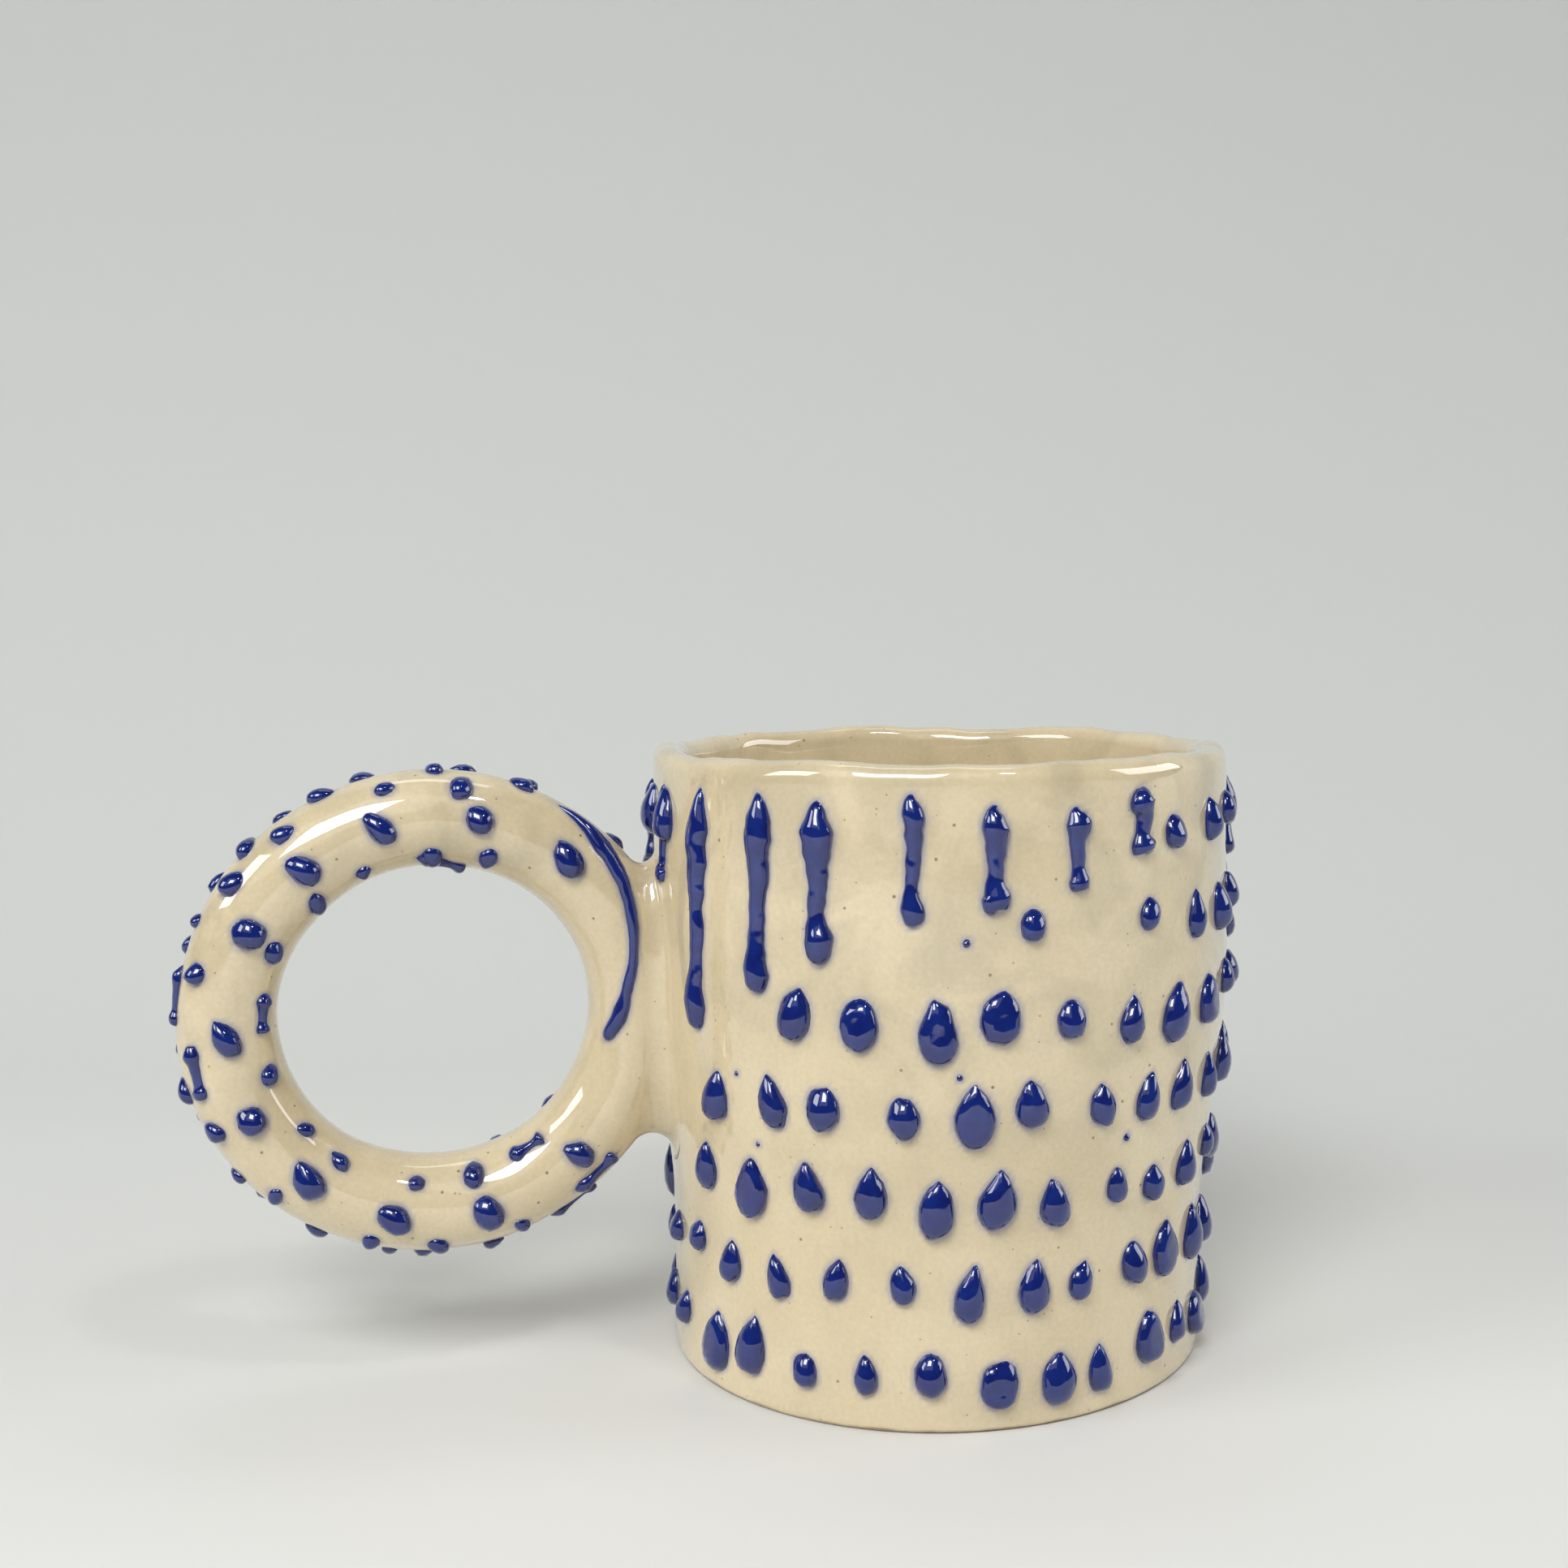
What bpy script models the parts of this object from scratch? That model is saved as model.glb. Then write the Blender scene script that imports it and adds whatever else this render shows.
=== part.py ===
"""A hand-built stoneware mug with a closed ring for a handle and raised drops of blue slip.

Metres, Z up. The middle of the foot is the origin and the handle stands on the -X side.
Places on the wall are given as a turn in degrees, counted from the handle anticlockwise seen
from above, and a height in millimetres. Places on the ring are given as an angle round the ring,
counted from the side that faces the cup and rising to 90 at the top, and an angle round the coil:
0 is its outer side, 180 the side in the finger hole and -90 the front.
"""

import math
import random

import bmesh
import bpy
from mathutils import Vector

MM = 0.001
GAP = 0.3 * MM  # left between two pieces that touch
MERGE_DISTANCE = 0.01 * MM

# The cup
CUP_HEIGHT = 90.0
WALL_THICKNESS = 4.4
# height and outside radius: upright above the foot, swelling to the belly, a little closer at the lip
FOOT_RADIUS = 39.5
FOOT_UPRIGHT = 16.0  # up to this height the wall stands straight
BELLY_RADIUS = 43.0
BELLY_HEIGHT = 58.0
LIP_RADIUS = 42.5
PROFILE_STEPS = 15
LIP_STEPS = 6
WALL_SIDES = 64
FOOT_OVAL = 1.3  # how far the foot is pushed out of round
FOOT_OVAL_TURN = 22.0
FLOOR_THICKNESS = 6.0
FLOOR_CLEARANCE = 1.5 * GAP  # at the corners, so that the flats of the disc and the wall stay apart
ROUND_WITHIN = 30.0  # from this radius inwards the oval of the foot fades away

# The ring
RING_OUT = 75.0  # from the cup's axis to the ring's centre
RING_HEIGHT = 53.5
RING_HALF_WIDTH = 28.6  # to the middle of the coil
RING_HALF_HEIGHT = 27.8
COIL_RADIUS = 6.8
RING_SEGMENTS = 60
COIL_SEGMENTS = 18

# The luting clay: the radius of its hollow at the top, at the sides and below
SADDLE_TOP = 2.2
SADDLE_SIDE = 3.2
SADDLE_BOTTOM = 3.2
SADDLE_STATIONS = 44
SADDLE_ARC_STEPS = 4
NEAREST_STEPS = 4  # steps of the search for the nearest place on a curve
HALVINGS = 40  # steps of the search for the rolling ball

# The drops
DROP_SIDES = 8
DROP_RINGS = 6
RUN_RINGS = 14
DROP_PROUD = 0.42  # a drop's height over its width
DROP_LEAST = 1.1
DROP_MOST = 1.8
TEAR_RATIO = 1.2  # a drop longer than this many widths has a thin top
TEAR_TOP, TEAR_GROWTH = 0.35, 1.05  # a tear's width at its top, and how much it gains to its bottom
EGG_TOP, EGG_GROWTH = 0.7, 0.55  # the same for a round drop
TOP_PROUD = 0.5  # how proud a drop is at its top, as a share of its bottom

CREAM = (0.76, 0.66, 0.45, 1.0)
BARE_CLAY = (0.55, 0.45, 0.32, 1.0)
COBALT = (0.015, 0.035, 0.25, 1.0)
GLAZE_ROUGHNESS = 0.15
LUTING_ROUGHNESS = 0.2
CLAY_ROUGHNESS = 0.5
SLIP_ROUGHNESS = 0.08

# The pattern of the slip: courses of drops up the wall, each shifted by half a step, and runs at the lip
SLIP_SEED = 5
COURSES = 7
COURSE_LOW, COURSE_HIGH = 7.5, 81.0  # heights of the lowest and the highest course
NEAR_FROM, NEAR_TO = -4.0, 160.0  # the turns that the pattern covers
DROP_STEP = 12.5  # degrees from one drop of a course to the next
DROP_WIDTHS = (3.4, 5.8)
DROP_STRETCH = (1.15, 1.85)  # length over width
LONGEST_DROP = 8.8
MOST_LEAN = 12.0
TURN_PLAY, HEIGHT_PLAY = 1.4, 1.2  # how far a drop may stray from its place
DROP_NODES = 36  # the biggest drops are pieces of their own
RUNS = 7
RUN_FROM, RUN_STEP = 22.0, 15.0  # turn of the first run, and from one run to the next
RUN_TOP = 85.5
LONGEST_RUN = 34.0
RUN_SHRINKS = 0.8  # each run is this share of the one before it
RUN_WIDTHS = (3.0, 4.4)
CLEAR = 1.2  # least distance from a run to a drop
JOIN_TURN, JOIN_REACH = 18.0, 19.0  # no drop is laid within this turn and height of the join
MM_PER_DEGREE = math.radians(42.5)
RING_DROPS = 11
RING_DROP_FROM, RING_DROP_STEP = 50.0, 26.0
RING_FRONT = -88.0  # the angle about the coil of its front row
RING_DROP_LENGTHS = (4.4, 6.2)
RING_DROP_WIDTHS = (3.5, 4.3)
RING_PLAY = (3.0, 5.0)
# Each long run winds evenly from its first place on the ring to its last, and has a greatest width
RING_RUNS = (((60, -20), (-12, -134), 2.6), ((95, -135), (78, -168), 2.8))
RING_RUN_STATIONS = 6


def clear_of_runs(turn, height, width, length, runs):
    """Whether a drop at this turn and height stays clear of every run."""
    for run_turn, top, bottom, run_width in runs:
        beside = abs(turn - run_turn) * MM_PER_DEGREE - (width + run_width) / 2
        above = height - length / 2 - top
        below = bottom - height - length / 2
        if max(beside, above, below) < CLEAR:
            return False
    return True


def wall_pattern():
    """The wall's drops, biggest first (turn, height, width, length, lean), and its runs.

    A run is a turn, a top, a bottom and a width.
    """
    chance = random.Random(SLIP_SEED)
    runs = []
    for i in range(RUNS):
        turn = RUN_FROM + RUN_STEP * i + chance.uniform(-TURN_PLAY, TURN_PLAY)
        top = RUN_TOP + chance.uniform(-HEIGHT_PLAY, HEIGHT_PLAY)
        runs.append((turn, top, top - LONGEST_RUN * RUN_SHRINKS**i, chance.uniform(*RUN_WIDTHS)))
    drops = []
    for course in range(COURSES):
        level = COURSE_LOW + (COURSE_HIGH - COURSE_LOW) * course / (COURSES - 1)
        first = NEAR_FROM + DROP_STEP / 2 * (course % 2)
        for place in range(int((NEAR_TO - first) / DROP_STEP) + 1):
            turn = first + DROP_STEP * place + chance.uniform(-TURN_PLAY, TURN_PLAY)
            height = level + chance.uniform(-HEIGHT_PLAY, HEIGHT_PLAY)
            width = chance.uniform(*DROP_WIDTHS)
            length = min(width * chance.uniform(*DROP_STRETCH), LONGEST_DROP)
            lean = chance.uniform(-MOST_LEAN, MOST_LEAN)
            on_join = abs(turn) < JOIN_TURN and abs(height - RING_HEIGHT) - length / 2 < JOIN_REACH
            if not on_join and clear_of_runs(turn, height, width, length, runs):
                drops.append((turn, height, width, length, lean))
    drops.sort(key=lambda drop: drop[2] * drop[3], reverse=True)
    return drops, runs


def ring_pattern():
    """The drops along the front of the ring: angle round it, angle about the coil, along, across."""
    chance = random.Random(SLIP_SEED)
    drops = []
    for i in range(RING_DROPS):
        around = RING_DROP_FROM + RING_DROP_STEP * i + chance.uniform(-RING_PLAY[0], RING_PLAY[0])
        about = RING_FRONT + chance.uniform(-RING_PLAY[1], RING_PLAY[1])
        drops.append((around, about, chance.uniform(*RING_DROP_LENGTHS), chance.uniform(*RING_DROP_WIDTHS)))
    return drops


def winding(first, last, stations):
    """Evenly spaced places on the ring from the first to the last."""
    shares = [k / (stations - 1) for k in range(stations)]
    return [(first[0] + (last[0] - first[0]) * s, first[1] + (last[1] - first[1]) * s) for s in shares]


def material(name, colour, roughness):
    """A Principled material."""
    made = bpy.data.materials.new(name)
    made.use_nodes = True
    shader = made.node_tree.nodes["Principled BSDF"]
    shader.inputs["Base Color"].default_value = colour
    shader.inputs["Roughness"].default_value = roughness
    return made


def add_object(name, bm, colour, roughness):
    """Turns a bmesh into a named object with faces outward, smooth shading and its own material."""
    bm.normal_update()
    bmesh.ops.recalc_face_normals(bm, faces=bm.faces)
    bmesh.ops.triangulate(bm, faces=bm.faces)
    for face in bm.faces:
        face.smooth = True
    mesh = bpy.data.meshes.new(name)
    bm.to_mesh(mesh)
    bm.free()
    mesh.materials.append(material(name + "_glaze", colour, roughness))
    made = bpy.data.objects.new(name, mesh)
    bpy.context.scene.collection.objects.link(made)
    return made


def profile_radius(height):
    """The wall's outside radius in mm, which swells to the belly and closes a little to the lip."""
    if height < BELLY_HEIGHT:
        share = max(height - FOOT_UPRIGHT, 0) / (BELLY_HEIGHT - FOOT_UPRIGHT)
        return FOOT_RADIUS + (BELLY_RADIUS - FOOT_RADIUS) * share * share * (3 - 2 * share)
    share = min((height - BELLY_HEIGHT) / (CUP_HEIGHT - BELLY_HEIGHT), 1)
    return BELLY_RADIUS + (LIP_RADIUS - BELLY_RADIUS) * share * share * (3 - 2 * share)


def out_of_round(angle, height):
    """What is added to the radius in mm: the foot is a little oval and the lip is round."""
    return FOOT_OVAL * (1 - height / CUP_HEIGHT) * math.cos(2 * (angle - math.radians(FOOT_OVAL_TURN)))


def wall_radius(angle, height):
    return profile_radius(height) + out_of_round(angle, height)


def wall_place(turn, height, proud):
    """The place on the wall at a turn from the handle and a height, stood off by proud, in mm."""
    angle = math.radians(180 + turn)
    radius = wall_radius(angle, height) + proud
    return Vector((radius * math.cos(angle), radius * math.sin(angle), height))


def ring_place(around, about, proud):
    """The place on the coil at an angle round the ring and an angle about the coil, in mm."""
    around = math.radians(around)
    about = math.radians(about)
    out = (COIL_RADIUS + proud) * math.cos(about)
    x = RING_HALF_WIDTH * math.cos(around) + out * math.cos(around) - RING_OUT
    z = RING_HALF_HEIGHT * math.sin(around) + out * math.sin(around) + RING_HEIGHT
    return Vector((x, (COIL_RADIUS + proud) * math.sin(about), z))


def lathe(outline):
    """A bmesh spun round the Z axis from a closed outline of (radius, height) in mm."""
    bm = bmesh.new()
    ring = [bm.verts.new((r * MM, 0, z * MM)) for r, z in outline]
    edges = [bm.edges.new((ring[i - 1], ring[i])) for i in range(len(ring))]
    bmesh.ops.spin(
        bm,
        geom=ring + edges,
        cent=(0, 0, 0),
        axis=(0, 0, 1),
        angle=math.tau,
        steps=WALL_SIDES,
        use_merge=True,
    )
    bmesh.ops.remove_doubles(bm, verts=bm.verts, dist=MERGE_DISTANCE)
    return bm


def push_out_of_round(bm):
    """Moves every vertex of a round piece in or out, as the hands that pinched the cup did."""
    for vert in bm.verts:
        radius = math.hypot(vert.co.x, vert.co.y)
        if radius > GAP:
            angle = math.atan2(vert.co.y, vert.co.x)
            share = min(1, radius / (ROUND_WITHIN * MM))
            grown = radius + out_of_round(angle, vert.co.z / MM) * MM * share
            vert.co.x *= grown / radius
            vert.co.y *= grown / radius


def build_wall():
    """The upright band of clay with its rounded lip, open at both ends."""
    lip_radius = WALL_THICKNESS / 2
    lip_base = CUP_HEIGHT - lip_radius
    heights = [lip_base * i / PROFILE_STEPS for i in range(PROFILE_STEPS + 1)]
    outline = [(profile_radius(z), z) for z in heights]
    middle = profile_radius(lip_base) - lip_radius
    for i in range(1, LIP_STEPS):
        bend = math.pi * i / LIP_STEPS
        outline.append((middle + lip_radius * math.cos(bend), lip_base + lip_radius * math.sin(bend)))
    outline += [(profile_radius(z) - WALL_THICKNESS, z) for z in reversed(heights)]
    bm = lathe(outline)
    push_out_of_round(bm)
    return add_object("mug_wall", bm, CREAM, GLAZE_ROUGHNESS)


def build_floor():
    """The base disc that the wall stands round, flat below."""
    bm = bmesh.new()
    bmesh.ops.create_cone(
        bm,
        cap_ends=True,
        cap_tris=True,
        segments=WALL_SIDES,
        radius1=(profile_radius(0) - WALL_THICKNESS) * MM - FLOOR_CLEARANCE,
        radius2=(profile_radius(FLOOR_THICKNESS) - WALL_THICKNESS) * MM - FLOOR_CLEARANCE,
        depth=FLOOR_THICKNESS * MM,
    )
    bmesh.ops.translate(bm, verts=bm.verts, vec=(0, 0, FLOOR_THICKNESS * MM / 2))
    push_out_of_round(bm)
    return add_object("mug_floor", bm, BARE_CLAY, CLAY_ROUGHNESS)


def build_ring():
    """The coil closed into a ring, with the side that meets the cup pressed to the wall."""
    bpy.ops.mesh.primitive_torus_add(
        major_segments=RING_SEGMENTS,
        minor_segments=COIL_SEGMENTS,
        major_radius=RING_HALF_HEIGHT * MM,
        minor_radius=COIL_RADIUS * MM,
    )
    torus = bpy.context.object
    bm = bmesh.new()
    bm.from_mesh(torus.data)
    bpy.data.objects.remove(torus)
    for vert in bm.verts:
        flat = math.hypot(vert.co.x, vert.co.y)
        wider = (RING_HALF_WIDTH - RING_HALF_HEIGHT) * MM * vert.co.x / flat
        vert.co = Vector((vert.co.x + wider - RING_OUT * MM, -vert.co.z, vert.co.y + RING_HEIGHT * MM))
        radius = math.hypot(vert.co.x, vert.co.y)
        least = wall_radius(math.atan2(vert.co.y, vert.co.x), vert.co.z / MM) * MM + GAP
        if radius < least:
            vert.co.x *= least / radius
            vert.co.y *= least / radius
    return add_object("ring_handle", bm, CREAM, GLAZE_ROUGHNESS)


def nearest_on_coil(point, distance):
    """The place this far from the coil's middle line, towards the point, and how far off the point is."""
    dx = point.x + RING_OUT
    dz = point.z - RING_HEIGHT
    around = math.atan2(dz * RING_HALF_WIDTH, dx * RING_HALF_HEIGHT)
    for _ in range(NEAREST_STEPS):
        on = Vector((RING_HALF_WIDTH * math.cos(around), 0, RING_HALF_HEIGHT * math.sin(around)))
        along = Vector((-RING_HALF_WIDTH * math.sin(around), 0, RING_HALF_HEIGHT * math.cos(around)))
        around += (Vector((dx, 0, dz)) - on).dot(along) / along.length_squared
    middle = Vector((on.x - RING_OUT, 0, on.z + RING_HEIGHT))
    away = point - middle
    return middle + away * (distance / away.length), away.length


def on_wall(y, z, off):
    """The place over the wall at this y and height, stood off by off."""
    angle = math.pi
    for _ in range(NEAREST_STEPS):
        radius = wall_radius(angle, z) + off
        angle = math.pi - math.asin(y / radius)
    return Vector((radius * math.cos(angle), y, z))


def onto_wall(point, off):
    """The point moved straight in or out to stand off the wall by off."""
    radius = wall_radius(math.atan2(point.y, point.x), point.z) + off
    flat = math.hypot(point.x, point.y)
    return Vector((point.x * radius / flat, point.y * radius / flat, point.z))


def ball_centre(bearing, radius):
    """Where a ball of this radius touches both the wall and the coil, on this bearing about the joint."""
    near = 0.0
    far = RING_HALF_HEIGHT
    for _ in range(HALVINGS):
        reach = (near + far) / 2
        point = on_wall(-reach * math.cos(bearing), RING_HEIGHT + reach * math.sin(bearing), radius)
        if nearest_on_coil(point, 1)[1] < COIL_RADIUS + radius:
            near = reach
        else:
            far = reach
    return point


def saddle_section(bearing):
    """The outline of the luting clay on one bearing: crevice, wall side, hollow face and coil side."""
    gap = GAP / MM
    up = math.sin(bearing)
    end = SADDLE_TOP if up > 0 else SADDLE_BOTTOM
    hollow = SADDLE_SIDE + (end - SADDLE_SIDE) * up * up
    crevice = ball_centre(bearing, gap)
    centre = ball_centre(bearing, hollow + gap)
    wall_foot = onto_wall(centre, gap)
    coil_foot = nearest_on_coil(centre, COIL_RADIUS + gap)[0]
    start = (wall_foot - centre).normalized()
    finish = (coil_foot - centre).normalized()
    wide = start.angle(finish)
    face = []
    for i in range(SADDLE_ARC_STEPS + 1):
        t = i / SADDLE_ARC_STEPS
        mix = start * math.sin(wide * (1 - t)) + finish * math.sin(wide * t)
        face.append(centre + mix * (hollow / math.sin(wide)))
    wall_half = onto_wall((crevice + wall_foot) / 2, gap)
    coil_half = nearest_on_coil((crevice + coil_foot) / 2, COIL_RADIUS + gap)[0]
    return [crevice, wall_half, *face, coil_half]


def build_joint():
    """The band of soft clay smoothed into the angle all round the place where the ring meets the wall."""
    bm = bmesh.new()
    sections = []
    for i in range(SADDLE_STATIONS):
        points = saddle_section(math.tau * i / SADDLE_STATIONS)
        sections.append([bm.verts.new(p * MM) for p in points])
    for i, section in enumerate(sections):
        before = sections[i - 1]
        for j in range(len(section)):
            bm.faces.new((before[j - 1], before[j], section[j], section[j - 1]))
    return add_object("handle_joint", bm, CREAM, LUTING_ROUGHNESS)


def fatness(down, tear):
    """What a drop's round outline is widened by, from its top at 0 to its bottom at 1."""
    top, growth = (TEAR_TOP, TEAR_GROWTH) if tear else (EGG_TOP, EGG_GROWTH)
    return top + growth * down


def build_drop(name, place, rings, half_width, half_length, centre, proud, tear, lean):
    """A blob of slip: a ball flattened below, thin at the top and full at the bottom, laid on the surface.

    place(centre, across, along, rise) gives the point beside the drop's centre, lifted off the surface.
    """
    bm = bmesh.new()
    bmesh.ops.create_uvsphere(bm, u_segments=DROP_SIDES, v_segments=rings, radius=1.0)
    for vert in bm.verts:
        along = vert.co.z
        down = (1 - along) / 2
        across = vert.co.x * half_width * fatness(down, tear)
        rise = max(vert.co.y, 0) * proud * (TOP_PROUD + (1 - TOP_PROUD) * down)
        shift = math.tan(math.radians(lean)) * along * half_length
        vert.co = place(centre, across + shift, along * half_length, rise + GAP / MM) * MM
    return add_object(name, bm, COBALT, SLIP_ROUGHNESS)


def beside_on_wall(centre, across, along, proud):
    turn, height = centre
    radius = profile_radius(height)
    return wall_place(turn + math.degrees(across / radius), height + along, proud)


def beside_on_ring(centre, across, along, proud):
    around, about = centre
    reach = RING_HALF_HEIGHT + COIL_RADIUS * math.cos(math.radians(about))
    turned = around + math.degrees(along / reach)
    return ring_place(turned, about + math.degrees(across / COIL_RADIUS), proud)


def spline(points, t):
    """A place on the smooth line through the points, for t from 0 to 1."""
    last = len(points) - 1
    i = min(int(t * last), last - 1)
    s = t * last - i

    def at(k):
        return Vector(points[min(max(k, 0), last)])

    a, b, c, d = at(i - 1), at(i), at(i + 1), at(i + 2)
    return b + 0.5 * s * (c - a + s * (2 * a - 5 * b + 4 * c - d + s * (3 * (b - c) + d - a)))


def build_run(name, surface, points, width):
    """A long run: a stretched drop whose middle line follows the points, with a fat end."""

    def place(centre, across, along, rise):
        here = spline(points, min(max((1 - along) / 2, 0), 1))
        return surface((here[0], here[1]), across, 0, rise)

    return build_drop(name, place, RUN_RINGS, width / 2, 1.0, None, how_proud(width), True, 0)


def how_proud(width):
    """How far a drop of this width stands up from the surface, in mm."""
    return min(max(width * DROP_PROUD, DROP_LEAST), DROP_MOST)


def build_all_drops():
    """Lays every drop and run of the patterns above."""
    drops, runs = wall_pattern()
    for i, (turn, height, width, length, lean) in enumerate(drops[:DROP_NODES]):
        name = f"drop_wall_{i + 1:02d}"
        half_width, half_length = width / 2, length / 2
        tear = length > width * TEAR_RATIO
        build_drop(
            name,
            beside_on_wall,
            DROP_RINGS,
            half_width,
            half_length,
            (turn, height),
            how_proud(width),
            tear,
            lean,
        )
    for i, (turn, top, bottom, width) in enumerate(runs):
        points = ((turn, top), (turn, (top + bottom) / 2), (turn, bottom))
        build_run(f"run_wall_{i + 1:02d}", beside_on_wall, points, width)
    for i, (around, about, along, across) in enumerate(ring_pattern()):
        name = f"drop_ring_{i + 1:02d}"
        proud = how_proud(across)
        place = (around, about)
        build_drop(name, beside_on_ring, DROP_RINGS, across / 2, along / 2, place, proud, False, 0)
    for i, (first, last, width) in enumerate(RING_RUNS):
        points = winding(first, last, RING_RUN_STATIONS)
        build_run(f"run_ring_{i + 1:02d}", beside_on_ring, points, width)


for old in list(bpy.data.objects):
    bpy.data.objects.remove(old)

build_wall()
build_floor()
build_ring()
build_joint()
build_all_drops()
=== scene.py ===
# %% [markdown]
# # A stoneware mug with a ring for a handle
# The mug is hand-built from four pieces of clay: a wall, a base disc, a coil closed into a ring, and the
# soft clay smoothed into the join. Blue slip was then piped on in drops and runs, which stand up from
# the wall, and everything was dipped in a clear glossy glaze. This lesson makes the clay first, then
# lays the slip on it, and last gives the glazes and the studio.

import math
import random

import bmesh
import bpy
import numpy as np
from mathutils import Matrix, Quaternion, Vector, noise


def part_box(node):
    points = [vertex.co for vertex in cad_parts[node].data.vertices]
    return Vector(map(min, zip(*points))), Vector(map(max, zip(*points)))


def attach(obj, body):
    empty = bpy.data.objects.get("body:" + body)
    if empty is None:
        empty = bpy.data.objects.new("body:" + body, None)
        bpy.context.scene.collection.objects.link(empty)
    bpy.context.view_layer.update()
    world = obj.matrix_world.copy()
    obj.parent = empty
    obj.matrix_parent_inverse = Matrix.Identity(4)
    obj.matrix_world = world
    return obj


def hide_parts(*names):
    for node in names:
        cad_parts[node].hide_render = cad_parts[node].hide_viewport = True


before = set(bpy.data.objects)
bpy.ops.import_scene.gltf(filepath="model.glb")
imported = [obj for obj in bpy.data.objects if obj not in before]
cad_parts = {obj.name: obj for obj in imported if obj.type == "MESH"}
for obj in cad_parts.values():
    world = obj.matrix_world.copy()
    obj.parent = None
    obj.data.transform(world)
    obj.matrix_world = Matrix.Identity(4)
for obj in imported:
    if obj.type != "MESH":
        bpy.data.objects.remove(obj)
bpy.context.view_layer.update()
MM = 0.001
wall_low, wall_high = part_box("mug_wall")
ring_low, ring_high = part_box("ring_handle")


def put(name, data):
    """A new object of this data, in the scene."""
    made = bpy.data.objects.new(name, data)
    bpy.context.scene.collection.objects.link(made)
    return made


print("frame nodes:", len(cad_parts), "wall height mm:", round(wall_high.z / MM, 1))

# %% [markdown]
# The sizes are in millimetres. The frame gives the heights and places. The wall is narrow at the foot and
# swells above the middle, and the foot is a little oval, because the cup was pinched and patted by hand.

# %% The sizes of the clay
CUP_HEIGHT = wall_high.z / MM
WALL_THICKNESS = 4.4
FOOT_RADIUS = 39.5
FOOT_UPRIGHT = 16.0  # up to this height the wall stands straight
BELLY_RADIUS = 43.0
BELLY_HEIGHT = 58.0
LIP_RADIUS = 42.5
FOOT_OVAL = 1.3
FOOT_OVAL_TURN = math.radians(22)
FLOOR_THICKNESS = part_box("mug_floor")[1].z / MM
COIL_RADIUS = 6.8
RING_HALF_WIDTH = 28.6
RING_HALF_HEIGHT = 27.8
RING_OUT = RING_HALF_WIDTH + COIL_RADIUS - ring_low.x / MM - 2 * (RING_HALF_WIDTH + COIL_RADIUS)
RING_HEIGHT = (ring_low.z + ring_high.z) / 2 / MM
print("ring centre mm:", round(-RING_OUT, 1), round(RING_HEIGHT, 1))


# %% [markdown]
# Hands leave broad soft dents in clay. One noise field in space gives them, so that the wall, the ring and
# the join all swell and dip together where they meet, and no seam opens between them.

# %% The wall's radius and the marks of the hands
def ease(low, high, value):
    t = np.clip((value - low) / (high - low), 0, 1)
    return t * t * (3 - 2 * t)


def profile_radius(height):
    """The outside radius at a height, which swells to the belly and closes a little to the lip."""
    swelling = (BELLY_RADIUS - FOOT_RADIUS) * ease(FOOT_UPRIGHT, BELLY_HEIGHT, height)
    closing = (BELLY_RADIUS - LIP_RADIUS) * ease(BELLY_HEIGHT, CUP_HEIGHT, height)
    return FOOT_RADIUS + swelling - closing


def wall_radius(angle, height):
    oval = FOOT_OVAL * (1 - height / CUP_HEIGHT) * np.cos(2 * (angle - FOOT_OVAL_TURN))
    return profile_radius(height) + oval


def hand_mark(point):
    """How far the hands pushed the clay in or out here, in mm."""
    broad = noise.noise(Vector(point) / 17)
    small = noise.noise(Vector(point) / 6.5 + Vector((9, 4, 2)))
    return 0.30 * broad + 0.07 * small


def lip_wave(angle):
    """How much higher or lower the lip is at this angle, in mm."""
    around = Vector((math.cos(angle), math.sin(angle), 0.3))
    return 0.75 * noise.noise(around * 2.6) + 0.3 * noise.noise(around * 7)


print("radius at foot, belly and lip:", [round(float(wall_radius(0, z)), 1) for z in (0, 56, 90)])


# %% [markdown]
# Every clay piece is a mesh made from rows of points. This helper joins rows into faces, turns them
# outwards and gives them the hand marks along their own normals.

# %% From rows of points to a piece of clay
def clay_mesh(name, rows, close_rows, caps=False):
    """A mesh object from a grid of points in mm: rows of equal length, each a closed loop."""
    count, around = len(rows), len(rows[0])
    bm = bmesh.new()
    verts = [[bm.verts.new(Vector(p) * MM) for p in row] for row in rows]
    for i in range(0 if close_rows else 1, count):
        for j in range(around):
            bm.faces.new((verts[i - 1][j - 1], verts[i - 1][j], verts[i][j], verts[i][j - 1]))
    if caps:
        for row in (verts[0], verts[-1]):
            middle = bm.verts.new(sum((v.co for v in row), Vector()) / around)
            for j in range(around):
                bm.faces.new((row[j - 1], row[j], middle))
    bm.normal_update()
    bmesh.ops.recalc_face_normals(bm, faces=bm.faces)
    mesh = bpy.data.meshes.new(name)
    bm.to_mesh(mesh)
    bm.free()
    mesh.shade_smooth()
    return put(name, mesh)


def press_by_hand(piece):
    """Pushes each point along its normal by the hand marks, and leaves the foot flat."""
    mesh = piece.data
    marks = []
    for vert in mesh.vertices:
        place = vert.co / MM
        keep_flat = float(ease(0.4, 4.0, place.z))
        marks.append(vert.co + vert.normal * (hand_mark(place) * keep_flat * MM))
    mesh.vertices.foreach_set("co", np.array(marks).ravel())
    mesh.update()
    print(piece.name, "faces:", len(mesh.polygons))


# %% [markdown]
# The wall is one band of clay. It could be a Screw modifier on an outline, but its foot is oval and its lip
# wavy, so each row of points is worked out from the wall's radius: up the outside, over the rounded
# lip, down the inside, and flat across the foot with its edge rounded by a wet sponge.

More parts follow.
